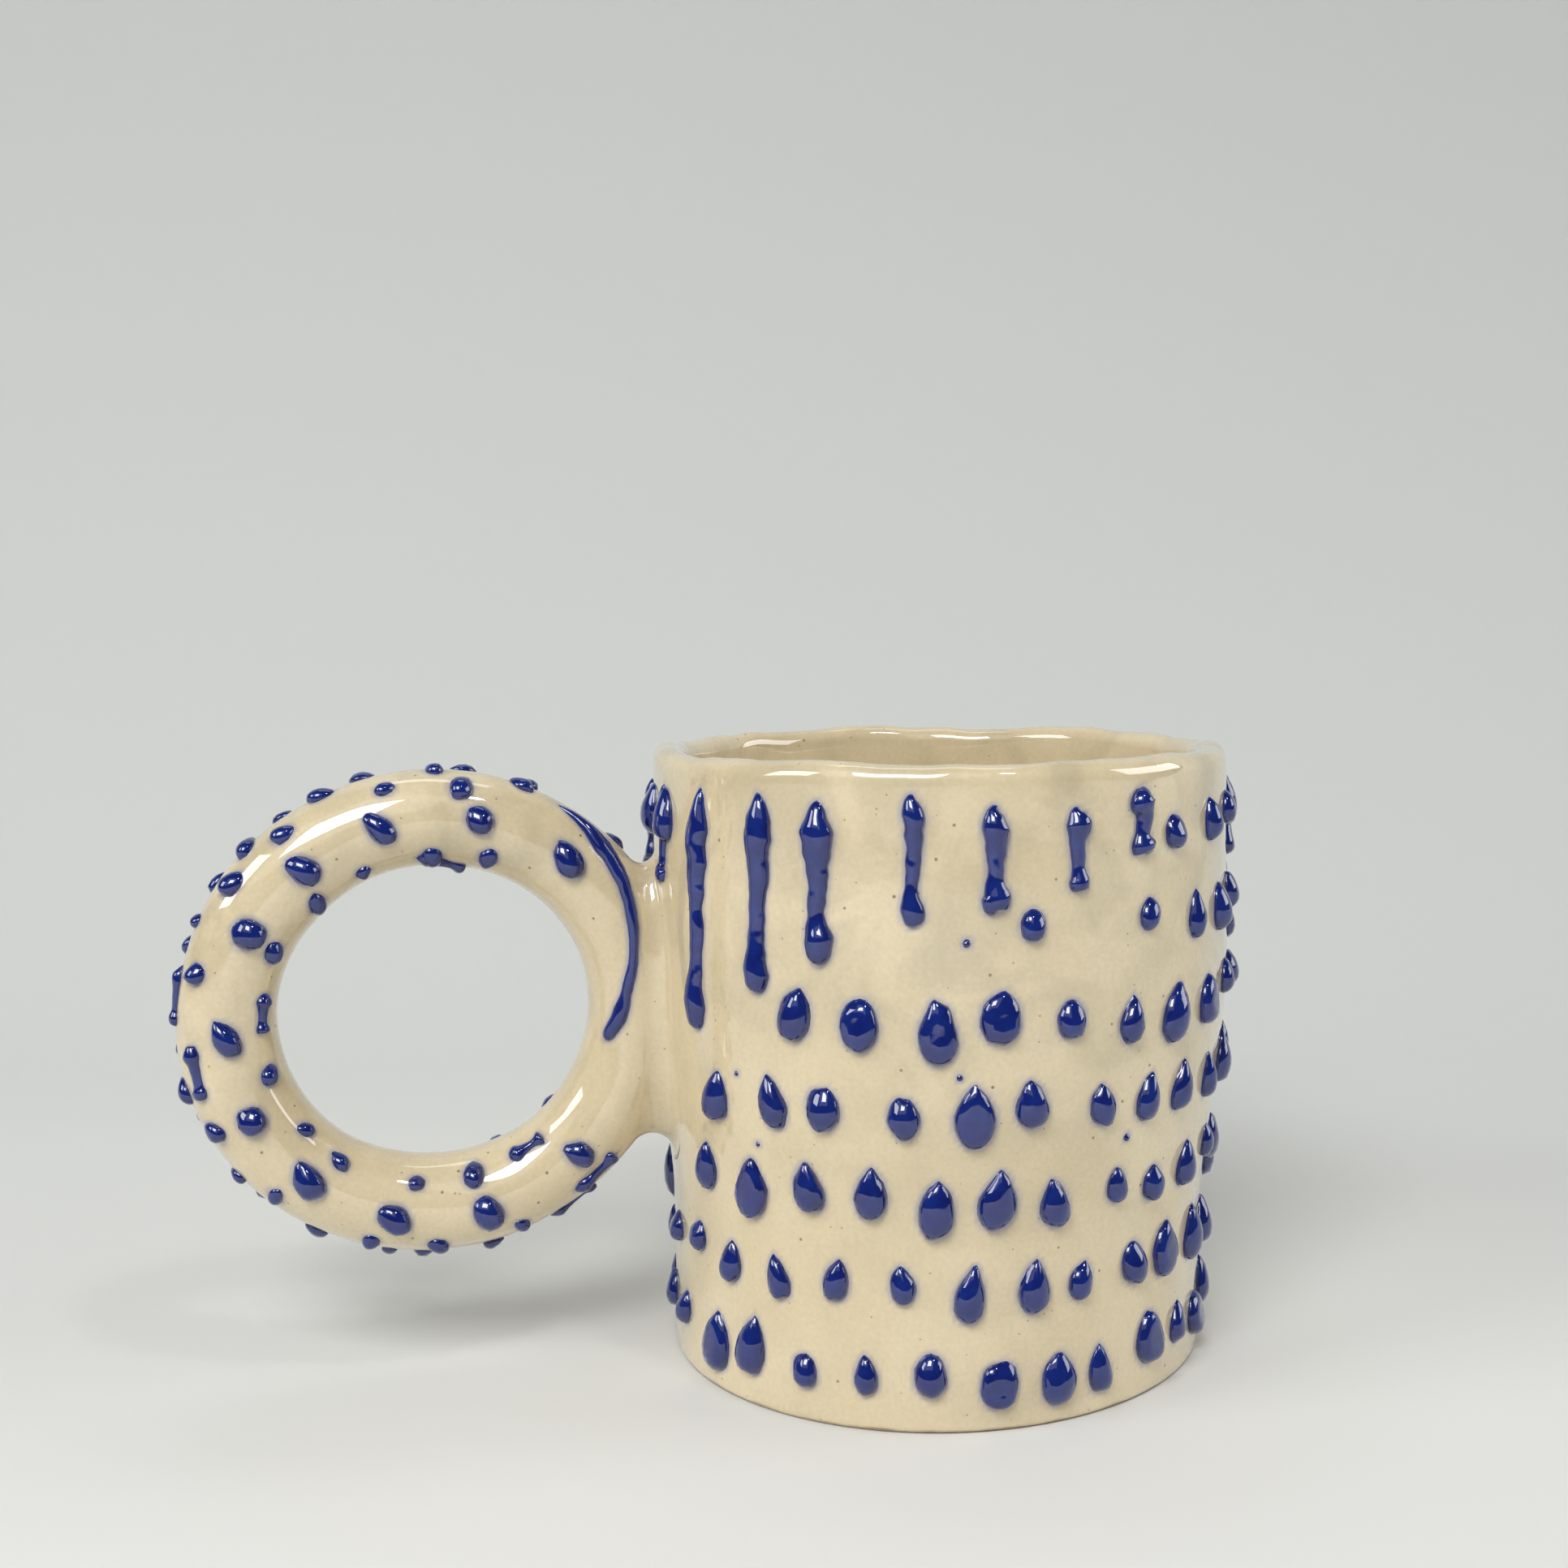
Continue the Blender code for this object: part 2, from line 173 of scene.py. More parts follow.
# %% The cup wall
WALL_COLUMNS = 440
OUTSIDE_ROWS = 140
LIP_ROWS = 11
INSIDE_ROWS = 40
FOOT_ROUNDING = 0.9
angles = np.linspace(0, math.tau, WALL_COLUMNS, endpoint=False)
waves = np.array([lip_wave(a) for a in angles])
lip_radius = WALL_THICKNESS / 2
lip_base = CUP_HEIGHT - lip_radius


def wall_row(height, inwards, rise=0.0):
    """A closed row at this height, moved in from the outside surface and lifted."""
    lift = waves * ease(CUP_HEIGHT - 14, CUP_HEIGHT, height + rise)
    radius = wall_radius(angles, height) - inwards
    return np.stack([radius * np.cos(angles), radius * np.sin(angles), height + rise + lift], 1)


wall_rows = [wall_row(0, WALL_THICKNESS), wall_row(0, WALL_THICKNESS / 2), wall_row(0, FOOT_ROUNDING)]
for bend in np.radians((30, 60)):
    wall_rows.append(wall_row(FOOT_ROUNDING * (1 - math.cos(bend)), FOOT_ROUNDING * (1 - math.sin(bend))))
for height in np.linspace(FOOT_ROUNDING, lip_base, OUTSIDE_ROWS):
    wall_rows.append(wall_row(height, 0))
for bend in np.linspace(0, math.pi, LIP_ROWS + 2)[1:-1]:
    wall_rows.append(wall_row(lip_base, lip_radius * (1 - math.cos(bend)), lip_radius * math.sin(bend)))
for height in np.linspace(lip_base, 0.4, INSIDE_ROWS):
    wall_rows.append(wall_row(height, WALL_THICKNESS))
cup_wall = clay_mesh("cup_wall", wall_rows, True)
press_by_hand(cup_wall)

# %% [markdown]
# The base is a slab cut round and joined inside the wall. A finger dragged round the bottom leaves a
# hollow fillet, so its edge climbs the wall. Below, the middle is a hair higher than the wall's foot,
# so the mug stands on a ring and does not rock.

# %% The base disc
BASE_COLUMNS = 180
CORNER_RADIUS = 5.0
FOOT_HOLLOW = 0.25
base_angles = np.linspace(0, math.tau, BASE_COLUMNS, endpoint=False)


def base_row(inwards, height):
    """A closed row set in from the wall's inside face."""
    radius = wall_radius(base_angles, max(height, 0)) - WALL_THICKNESS - inwards
    level = np.full(BASE_COLUMNS, height)
    return np.stack([radius * np.cos(base_angles), radius * np.sin(base_angles), level], 1)


inside_radius = float(profile_radius(0)) - WALL_THICKNESS
base_rows = [base_row(inside_radius * (1 - part), FOOT_HOLLOW) for part in (0.05, 0.25, 0.5, 0.75, 0.93)]
base_rows += [base_row(-0.15, FOOT_HOLLOW), base_row(-0.15, FLOOR_THICKNESS)]
base_rows.append(base_row(-0.15, FLOOR_THICKNESS + CORNER_RADIUS + 0.4))
for bend in np.linspace(0, math.pi / 2, 9):
    drop = CORNER_RADIUS * (1 - math.sin(bend))
    base_rows.append(base_row(CORNER_RADIUS * (1 - math.cos(bend)), FLOOR_THICKNESS + drop))
base_rows += [base_row(inside_radius * (1 - part), FLOOR_THICKNESS) for part in (0.7, 0.5, 0.3, 0.15, 0.04)]
cup_base = clay_mesh("cup_base", base_rows, False, caps=True)
print(cup_base.name, "faces:", len(cup_base.data.polygons))


# %% [markdown]
# Nodes are added all through this lesson, for shapes here and for glazes later. This one helper adds a
# node, sets its options, and gives each input either a value or a link.

# %% A helper that adds a node
MATH, VECTOR, MIX = "ShaderNodeMath", "ShaderNodeVectorMath", "ShaderNodeMix"
KEPT, SPLIT, RANGE = "GeometryNodeInputNamedAttribute", "ShaderNodeSeparateXYZ", "ShaderNodeMapRange"
NOISE, BUMP = "ShaderNodeTexNoise", "ShaderNodeBump"


def add(tree, kind, inputs=(), **options):
    """Adds a node with its options and inputs, and returns it.

    inputs lists values in order, or maps a socket's name or number to a value. A value is a number,
    a colour, another node's output, or another node, which stands for its first output in use.
    """
    node = tree.nodes.new(kind)
    for name, value in options.items():
        setattr(node, name, value)
    pairs = inputs.items() if isinstance(inputs, dict) else enumerate(inputs)
    for socket, value in pairs:
        if isinstance(value, bpy.types.Node):
            value = next(output for output in value.outputs if output.enabled)
        if isinstance(value, bpy.types.NodeSocket):
            tree.links.new(value, node.inputs[socket])
        else:
            node.inputs[socket].default_value = value
    return node


def shape_tree(name, wanted):
    """A Geometry Nodes tree with a Geometry input and output and the named inputs wanted of it."""
    tree = bpy.data.node_groups.new(name, "GeometryNodeTree")
    tree.interface.new_socket("Geometry", in_out="OUTPUT", socket_type="NodeSocketGeometry")
    tree.interface.new_socket("Geometry", in_out="INPUT", socket_type="NodeSocketGeometry")
    for title, kind in wanted.items():
        tree.interface.new_socket(title, in_out="INPUT", socket_type="NodeSocket" + kind)
    return tree, tree.nodes.new("NodeGroupInput").outputs


def close_tree(tree, geometry, finish):
    """Ends a tree: instances made real, the material set."""
    whole = add(tree, "GeometryNodeRealizeInstances", [geometry])
    dressed = add(tree, "GeometryNodeSetMaterial", {"Geometry": whole, "Material": finish})
    add(tree, "NodeGroupOutput", [dressed])
    print(tree.name, "nodes:", len(tree.nodes))


def run_tree(tree, carrier, values, name):
    """Runs the tree as a modifier on carrier and returns the result as a plain mesh object."""
    modifier = carrier.modifiers.new(tree.name, "NODES")
    modifier.node_group = tree
    for item in tree.interface.items_tree:
        if item.in_out == "INPUT" and item.name in values:
            modifier[item.identifier] = values[item.name]
    graph = bpy.context.evaluated_depsgraph_get()
    mesh = bpy.data.meshes.new_from_object(carrier.evaluated_get(graph), depsgraph=graph)
    carrier.modifiers.remove(modifier)
    mesh.name = name
    return put(name, mesh)


# %% [markdown]
# The handle is a coil of clay rolled out, closed into a ring and smoothed. Its shape follows a rule, a
# round section swept along an oval, so Geometry Nodes make it: an oval curve, a round profile, and
# Curve to Mesh. The side that meets the cup is then pressed against the wall.

# %% The ring
clay_finish = bpy.data.materials.new("glazed_cream_stoneware")
ring_sizes = {
    "Half Width": RING_HALF_WIDTH * MM,
    "Half Height": RING_HALF_HEIGHT * MM,
    "Coil Radius": COIL_RADIUS * MM,
    "Along": 300,
    "Around": 84,
    "Finish": clay_finish,
}
kinds = ("Float", "Float", "Float", "Int", "Int", "Material")
tree, given = shape_tree("coil_ring", dict(zip(ring_sizes, kinds, strict=True)))
oval = add(tree, "GeometryNodeCurvePrimitiveCircle", {"Resolution": given["Along"], "Radius": 1.0})
size = add(tree, "ShaderNodeCombineXYZ", [given["Half Width"], given["Half Height"], 1.0])
wide = add(tree, "GeometryNodeTransform", {"Geometry": oval.outputs["Curve"], "Scale": size})
section_size = {"Resolution": given["Around"], "Radius": given["Coil Radius"]}
section = add(tree, "GeometryNodeCurvePrimitiveCircle", section_size).outputs["Curve"]
swept = add(tree, "GeometryNodeCurveToMesh", {"Curve": wide, "Profile Curve": section})
smooth = add(tree, "GeometryNodeSetShadeSmooth", {"Geometry": swept})
close_tree(tree, smooth, given["Finish"])

carrier = put("ring_carrier", bpy.data.meshes.new("ring_carrier"))
ring = run_tree(tree, carrier, ring_sizes, "ring_coil")
bpy.data.objects.remove(carrier)
HIDDEN_OVERLAP = 0.3
for vert in ring.data.vertices:
    x, y, z = vert.co.x / MM - RING_OUT, -vert.co.z / MM, vert.co.y / MM + RING_HEIGHT
    flat = math.hypot(x, y)
    least = float(wall_radius(math.atan2(y, x), z)) - HIDDEN_OVERLAP
    push = max(1.0, least / flat)
    vert.co = Vector((x * push, y * push, z)) * MM
ring.data.update()
press_by_hand(ring)


# %% [markdown]
# Where the ring touches the wall, soft clay was pushed into the angle and smoothed with a finger. The
# section of that clay is the hollow that a ball leaves when it rolls in the angle, touching wall and
# coil. So for each bearing about the join, this finds the ball's centre by halving a distance, and
# draws the hollow between the two places where it touches. It is softest at the front and below.

# %% The luting clay in the join
JOIN_STATIONS = 180
JOIN_STEPS = 14
HOLLOW_TOP = 2.2
HOLLOW_SIDE = 3.4
HOLLOW_BELOW = 3.4


def coil_near(point):
    """The middle of the coil nearest to a point, and the step from there to the point."""
    dx, dz = point.x + RING_OUT, point.z - RING_HEIGHT
    around = math.atan2(dz * RING_HALF_WIDTH, dx * RING_HALF_HEIGHT)
    for _ in range(5):
        on = Vector((RING_HALF_WIDTH * math.cos(around), 0, RING_HALF_HEIGHT * math.sin(around)))
        along = Vector((-RING_HALF_WIDTH * math.sin(around), 0, RING_HALF_HEIGHT * math.cos(around)))
        around += (Vector((dx, 0, dz)) - on).dot(along) / along.length_squared
    middle = Vector((on.x - RING_OUT, 0, on.z + RING_HEIGHT))
    return middle, point - middle


def over_wall(y, z, off):
    """The place on the handle's side of the wall at this y and height, stood off by off."""
    angle = math.pi
    for _ in range(5):
        radius = float(wall_radius(angle, z)) + off
        angle = math.pi - math.asin(y / radius)
    return Vector((radius * math.cos(angle), y, z))


def to_wall(point, off):
    radius = float(wall_radius(math.atan2(point.y, point.x), point.z)) + off
    flat = math.hypot(point.x, point.y)
    return Vector((point.x * radius / flat, point.y * radius / flat, point.z))


def to_coil(point, off):
    middle, away = coil_near(point)
    return middle + away.normalized() * (COIL_RADIUS + off)


def ball_centre(bearing, radius):
    near, far = 0.0, RING_HALF_HEIGHT
    for _ in range(36):
        reach = (near + far) / 2
        point = over_wall(-reach * math.cos(bearing), RING_HEIGHT + reach * math.sin(bearing), radius)
        if coil_near(point)[1].length < COIL_RADIUS + radius:
            near = reach
        else:
            far = reach
    return point


DIVE = 0.06  # how far the thin edges of the luting clay run under the surfaces they join
join_rows = []
for bearing in np.linspace(0, math.tau, JOIN_STATIONS, endpoint=False):
    up = math.sin(bearing)
    end = HOLLOW_TOP if up > 0 else HOLLOW_BELOW
    hollow = HOLLOW_SIDE + (end - HOLLOW_SIDE) * up * up
    crevice = ball_centre(bearing, 0.05)
    centre = ball_centre(bearing, hollow)
    wall_foot, coil_foot = to_wall(centre, 0), to_coil(centre, 0)
    start, finish = (wall_foot - centre).normalized(), (coil_foot - centre).normalized()
    wide = start.angle(finish)
    face = []
    for t in np.linspace(0, 1, JOIN_STEPS + 1):
        mix = start * math.sin(wide * (1 - t)) + finish * math.sin(wide * t)
        face.append(centre + mix * (hollow / math.sin(wide)))
    wall_edge = to_wall(wall_foot + (wall_foot - crevice).normalized() * 0.9, -DIVE)
    coil_edge = to_coil(coil_foot + (coil_foot - crevice).normalized() * 0.9, -DIVE)
    join_rows.append([to_wall(crevice, -1.0), wall_edge, *face, coil_edge])
join = clay_mesh("join_saddle", join_rows, True)
press_by_hand(join)


# %% [markdown]
# Places for the slip are given as the potter would find them. On the wall a place is a turn in degrees,
# counted from the handle anticlockwise seen from above, and a height. On the ring it is an angle round
# the ring, 0 facing the cup and 90 at the top, and an angle about the coil: 0 is the outer side, 180
# the side in the finger hole and -90 the front.

# %% Places on the wall and on the ring
def on_wall(turn, height):
    """The place and the outward direction at a turn and a height."""
    angle = math.radians(180 + turn)
    radius = float(wall_radius(angle, height))
    slope = float(wall_radius(angle, height + 1) - wall_radius(angle, height - 1)) / 2
    place = Vector((radius * math.cos(angle), radius * math.sin(angle), height))
    return place, Vector((math.cos(angle), math.sin(angle), -slope)).normalized()


def on_ring(around, about):
    """The place and the outward direction on the coil."""
    around, about = math.radians(around), math.radians(about)
    outward = Vector((math.cos(around), 0, math.sin(around)))
    normal = outward * math.cos(about) + Vector((0, 1, 0)) * math.sin(about)
    x = RING_HALF_WIDTH * math.cos(around) - RING_OUT
    z = RING_HALF_HEIGHT * math.sin(around) + RING_HEIGHT
    return Vector((x, 0, z)) + normal * COIL_RADIUS, normal


print("a place on the wall:", tuple(round(v, 1) for v in on_wall(60, 50)[0]))

# %% [markdown]
# The slip was piped on in courses: a row of drops, then the next row shifted by half a step, with a few long
# runs at the lip that get shorter away from the handle. Each drop could be placed by hand, but a rule
# with a fixed seed says how the potter worked, and it is the rule that the frame's own drops follow.

# %% The sizes of the pattern
# The pattern of the slip: courses of drops up the wall, each shifted by half a step, and runs at the lip
SLIP_SEED = 5
COURSES = 7
COURSE_LOW, COURSE_HIGH = 7.5, 81.0  # heights of the lowest and the highest course
NEAR_FROM, NEAR_TO = -4.0, 160.0  # the turns that the pattern covers
DROP_STEP = 12.5  # degrees from one drop of a course to the next
DROP_WIDTHS = (3.4, 5.8)
DROP_STRETCH = (1.15, 1.85)  # length over width
LONGEST_DROP = 8.8
MOST_LEAN = 12.0
TURN_PLAY, HEIGHT_PLAY = 1.4, 1.2  # how far a drop may stray from its place
DROP_NODES = 36  # the biggest drops are pieces of their own
RUNS = 7
RUN_FROM, RUN_STEP = 22.0, 15.0  # turn of the first run, and from one run to the next
RUN_TOP = 85.5
LONGEST_RUN = 34.0
RUN_SHRINKS = 0.8  # each run is this share of the one before it
RUN_WIDTHS = (3.0, 4.4)
CLEAR = 1.2  # least distance from a run to a drop
JOIN_TURN, JOIN_REACH = 18.0, 19.0  # no drop is laid within this turn and height of the join
MM_PER_DEGREE = math.radians(42.5)
RING_DROPS = 11
RING_DROP_FROM, RING_DROP_STEP = 50.0, 26.0
RING_FRONT = -88.0  # the angle about the coil of its front row
RING_DROP_LENGTHS = (4.4, 6.2)
RING_DROP_WIDTHS = (3.5, 4.3)
RING_PLAY = (3.0, 5.0)
# Each long run winds evenly from its first place on the ring to its last, and has a greatest width
RING_RUNS = (((60, -20), (-12, -134), 2.6), ((95, -135), (78, -168), 2.8))
RING_RUN_STATIONS = 6
print("courses", COURSES, "of drops every", DROP_STEP, "degrees")


# %% [markdown]
# On the mug the drops were piped by hand, course above course. Here a rule with a fixed seed places
# them in staggered courses with some play, and the runs start near the handle and get shorter
# away from it. The CAD follows the same rule, so both put each drop in the same place.

# %% Where the drops and runs of the side seen are
def clear_of_runs(turn, height, width, length, runs):
    """Whether a drop at this turn and height stays clear of every run."""
    for run_turn, top, bottom, run_width in runs:
        beside = abs(turn - run_turn) * MM_PER_DEGREE - (width + run_width) / 2
        above = height - length / 2 - top
        below = bottom - height - length / 2
        if max(beside, above, below) < CLEAR:
            return False
    return True


def wall_pattern():
    """The wall's drops, biggest first (turn, height, width, length, lean), and its runs.

    A run is a turn, a top, a bottom and a width.
    """
    chance = random.Random(SLIP_SEED)
    runs = []
    for i in range(RUNS):
        turn = RUN_FROM + RUN_STEP * i + chance.uniform(-TURN_PLAY, TURN_PLAY)
        top = RUN_TOP + chance.uniform(-HEIGHT_PLAY, HEIGHT_PLAY)
        runs.append((turn, top, top - LONGEST_RUN * RUN_SHRINKS**i, chance.uniform(*RUN_WIDTHS)))
    drops = []
    for course in range(COURSES):
        level = COURSE_LOW + (COURSE_HIGH - COURSE_LOW) * course / (COURSES - 1)
        first = NEAR_FROM + DROP_STEP / 2 * (course % 2)
        for place in range(int((NEAR_TO - first) / DROP_STEP) + 1):
            turn = first + DROP_STEP * place + chance.uniform(-TURN_PLAY, TURN_PLAY)
            height = level + chance.uniform(-HEIGHT_PLAY, HEIGHT_PLAY)
            width = chance.uniform(*DROP_WIDTHS)
            length = min(width * chance.uniform(*DROP_STRETCH), LONGEST_DROP)
            lean = chance.uniform(-MOST_LEAN, MOST_LEAN)
            on_join = abs(turn) < JOIN_TURN and abs(height - RING_HEIGHT) - length / 2 < JOIN_REACH
            if not on_join and clear_of_runs(turn, height, width, length, runs):
                drops.append((turn, height, width, length, lean))
    drops.sort(key=lambda drop: drop[2] * drop[3], reverse=True)
    return drops, runs


def ring_pattern():
    """The drops along the front of the ring: angle round it, angle about the coil, along, across."""
    chance = random.Random(SLIP_SEED)
    drops = []
    for i in range(RING_DROPS):
        around = RING_DROP_FROM + RING_DROP_STEP * i + chance.uniform(-RING_PLAY[0], RING_PLAY[0])
        about = RING_FRONT + chance.uniform(-RING_PLAY[1], RING_PLAY[1])
        drops.append((around, about, chance.uniform(*RING_DROP_LENGTHS), chance.uniform(*RING_DROP_WIDTHS)))
    return drops


def winding(first, last, stations):
    """Evenly spaced places on the ring from the first to the last."""
    shares = [k / (stations - 1) for k in range(stations)]
    return [(first[0] + (last[0] - first[0]) * s, first[1] + (last[1] - first[1]) * s) for s in shares]


wall_drops, wall_runs = wall_pattern()
ring_drops = ring_pattern()
print("near side:", len(wall_drops), "wall drops,", len(wall_runs), "runs,", len(ring_drops), "ring drops")

# %% [markdown]
# A short drop is an egg and a long one a tear, so the tip is worked out from how long the drop is for its
# width. The widest drops sank in the middle as they dried, and get a dish. A run starts thin, swells
# where the slip was piped, thins where it ran and ends in a bead.

# %% The shape of each drop and run
TIP_FROM, TIP_GAIN, SHARPEST = 1.2, 1.1, 0.6
DISHED_FROM, DISH = 5.4, 0.35
# how far along a run, and its width there as a share of the full width
RUN_SHAPE = ((0, 0.05), (0.06, 0.55), (0.2, 1.0), (0.42, 0.72), (0.7, 0.6))
RUN_SHAPE += ((0.86, 0.9), (0.96, 0.75), (1, 0.05))
RUN_WANDER = 0.4
chance = random.Random(SLIP_SEED + 1)


def drop_row(first, second, width, length, lean):
    """A drop as place, width, length, how pointed its top is, lean and the depth of its dish."""
    tip = min(max(length / width - TIP_FROM, 0) * TIP_GAIN, SHARPEST)
    return first, second, width, length, tip, lean, DISH if width > DISHED_FROM else 0.0


def run_rows(start, end, width):
    """A run from start to end as places with the half width there."""
    rows = []
    for share, fullness in RUN_SHAPE:
        here = [a + (b - a) * share for a, b in zip(start, end, strict=True)]
        rows.append((here[0] + chance.uniform(-RUN_WANDER, RUN_WANDER), here[1], width / 2 * fullness))
    return rows


wall_drop_rows = [drop_row(*drop) for drop in wall_drops]
ring_rows = [drop_row(a, b, across, along, chance.uniform(-70, -15)) for a, b, along, across in ring_drops]
wall_run_rows = [run_rows((turn, top), (turn, bottom), width) for turn, top, bottom, width in wall_runs]
ring_run_rows = [run_rows(first, last, width) for first, last, width in RING_RUNS]
tears = sum(row[4] > 0.2 for row in wall_drop_rows)
print("tears:", tears, "dished:", sum(row[6] > 0 for row in wall_drop_rows))

# %% [markdown]
# The small drops fill the rest of the ring in rows along the coil, and a few dots of slip fell from the
# nozzle on the wall. There are too many of them for each
# to be a piece of the frame. Every sixth place of a row ran a little.

# %% The small drops, dots and runs
RING_ROWS = ((-133, 70), (-45, 82), (-8, 70))  # angle about the coil and where the row starts round the ring
RING_ROW_STEP, RING_ROW_END = 21, 322
SHORT_RUN_EVERY = 6
DOTS = 5
DOT_CLEAR = 5.5
JOIN_RUNS = (-8, 7)  # turns of the thin runs above the join
small_ring_drops, short_ring_runs = [], []
for about, start in RING_ROWS:
    for place, around in enumerate(range(start, RING_ROW_END, RING_ROW_STEP)):
        around += chance.uniform(-3, 3)
        about_here = about + chance.uniform(-6, 6)
        if place % SHORT_RUN_EVERY == SHORT_RUN_EVERY - 1:
            short_ring_runs.append(run_rows((around - 7, about_here), (around + 7, about_here), 2.6))
        else:
            width = chance.uniform(2.2, 3.4)
            length = width * chance.uniform(1.0, 1.5)
            small_ring_drops.append(drop_row(around, about_here, width, length, chance.uniform(-70, 70)))
dots = []
while len(dots) < DOTS:
    turn, height, size = chance.uniform(25, 115), chance.uniform(15, 70), chance.uniform(0.6, 1.2)
    spans = [math.hypot((turn - row[0]) * MM_PER_DEGREE, height - row[1]) for row in wall_drop_rows]
    if min(spans) > DOT_CLEAR:
        dots.append(drop_row(turn, height, size, size, 0))
join_run_rows = []
for turn in JOIN_RUNS:
    join_run_rows.append(run_rows((turn, RUN_TOP), (turn, RUN_TOP - chance.uniform(10, 15)), 2.8))
print("small ring drops:", len(small_ring_drops), "dots:", len(dots), "short runs:", len(short_ring_runs))

# %% [markdown]
# The potter went all the way round, so the far side carries the same pattern. It is made by a rule:
# courses of drops, each course shifted by half a step, with a fixed seed for the small differences
# of place, size and lean. The top course has some long runs, as the near side has.

# %% The drops on the far side
chance = np.random.default_rng(11)
BACK_COURSES = (83, 73.5, 64, 54.5, 45, 35.5, 26, 16.5, 7)
BACK_STEP = 12.0
BACK_FROM, BACK_TO = 163.0, 352.0
back_wall_drops = []
back_wall_runs = []
for course, course_height in enumerate(BACK_COURSES):
    for turn in np.arange(BACK_FROM + (course % 2) * BACK_STEP / 2, BACK_TO, BACK_STEP):
        turn = turn + chance.uniform(-2.6, 2.6)
        height = course_height + chance.uniform(-2.2, 2.2)
        width = chance.uniform(3.2, 5.6)
        length = min(width * chance.uniform(1.15, 1.9), 9.0)
        lean = chance.uniform(-12, 12)
        if chance.random() < 0.1:
            continue
        if course == 0 and chance.random() < 0.3:
            half, low = width / 2.6, height - chance.uniform(9, 16)
            back_wall_runs.append(
                (
                    (turn, height + 3, 0.1),
                    (turn, height + 1.5, half * 0.6),
                    (turn, height - 1.5, half),
                    (turn - 0.4, (height + low) / 2, half * 0.7),
                    (turn - 0.6, low + 1.2, half * 0.95),
                    (turn - 0.6, low, 0.1),
                )
            )
        else:
            tip = chance.choice((0.0, 0.3, 0.45, 0.6))
            back_wall_drops.append((turn, height, width, length, tip, lean, 0.0))
back_ring_drops = []
for row, about in enumerate((20, 58, 96, 134)):
    for around in np.arange(44 + (row % 2) * 10, 322, 20):
        width = chance.uniform(2.6, 4.0)
        length = width * chance.uniform(1.0, 1.5)
        around = around + chance.uniform(-3.5, 3.5)
        lean = chance.uniform(-60, 60)
        about_here = about + chance.uniform(-9, 9)
        if about < 120 or around > 215:
            back_ring_drops.append((around, about_here, width, length, 0.0, lean, 0.0))
print("far side:", len(back_wall_drops), "drops,", len(back_wall_runs), "runs; ring", len(back_ring_drops))

# %% [markdown]
# The slip is laid by Geometry Nodes. A ball is put on each place, and every point of it is then moved:
# its height above the surface becomes the drop's swell, its length follows the lean, and its width
# narrows towards the tip. Last, the point is dropped onto the nearest clay and lifted along the
# clay's own normal, so the drop follows the wall, the coil or the join, whatever is under it.


# %% The clay that the slip lies on
def skin_of(*pieces):
    """One hidden mesh of these pieces, with each point's normal kept as an attribute."""
    bm = bmesh.new()
    for piece in pieces:
        bm.from_mesh(piece.data)
    mesh = bpy.data.meshes.new("clay_skin")
    bm.to_mesh(mesh)
    bm.free()
    normals = np.empty(len(mesh.vertices) * 3, np.float32)
    mesh.vertex_normals.foreach_get("vector", normals)
    mesh.attributes.new("clay_normal", "FLOAT_VECTOR", "POINT").data.foreach_set("vector", normals)
    return put("clay_skin", mesh)


clay_skin = skin_of(cup_wall, ring, join)
print("clay skin points:", len(clay_skin.data.vertices))


# %% [markdown]
# Drops and runs end in the same way: each point, found flat on the clay, is lifted by its own rise. And both
# start as balls, one for each place, whose points remember where they were in their ball. Joining
# those steps in functions keeps the two trees short.

# %% What the trees of drops and runs share
def clay_geometry(tree, given):
    info = add(tree, "GeometryNodeObjectInfo", {"Object": given["Clay"]}, transform_space="RELATIVE")
    return info.outputs["Geometry"]


def clay_normal(tree, clay, position):
    """The clay's outward direction at its point nearest to the position."""
    normal = add(tree, KEPT, {"Name": "clay_normal"}, data_type="FLOAT_VECTOR")
    inputs = {"Mesh": clay, "Value": normal, "Sample Position": position}
    return add(tree, "GeometryNodeSampleNearestSurface", inputs, data_type="FLOAT_VECTOR").outputs[0]


def lay_on_clay(tree, given, balls, flat, rise):
    """Drops each point flat onto the clay, lifts it by its rise less the sunk part, and ends the tree."""
    clay = clay_geometry(tree, given)
    nearest = add(tree, "GeometryNodeProximity", {0: clay, "Sample Position": flat}).outputs["Position"]
    lift = add(tree, MATH, [rise, given["Sunk"]], operation="SUBTRACT")
    up = add(tree, VECTOR, {0: clay_normal(tree, clay, flat), "Scale": lift}, operation="SCALE")
    place = add(tree, VECTOR, [nearest, up])
    moved = add(tree, "GeometryNodeSetPosition", {"Geometry": balls, "Position": place})
    smooth = add(tree, "GeometryNodeSetShadeSmooth", {"Geometry": moved})
    close_tree(tree, smooth, given["Finish"])


def balls_on_points(tree, given):
    """Balls on the places, made real, each point knowing its own place in its ball as the attribute ball."""
    sizes = {"Segments": given["Sides"], "Rings": given["Rings"], "Radius": 1.0}
    ball = add(tree, "GeometryNodeMeshUVSphere", sizes).outputs["Mesh"]
    own = {"Geometry": ball, "Name": "ball", "Value": add(tree, "GeometryNodeInputPosition")}
    marked = add(tree, "GeometryNodeStoreNamedAttribute", own, data_type="FLOAT_VECTOR")
    placed = add(tree, "GeometryNodeInstanceOnPoints", {"Points": given["Geometry"], "Instance": marked})
    return add(tree, "GeometryNodeRealizeInstances", [placed])


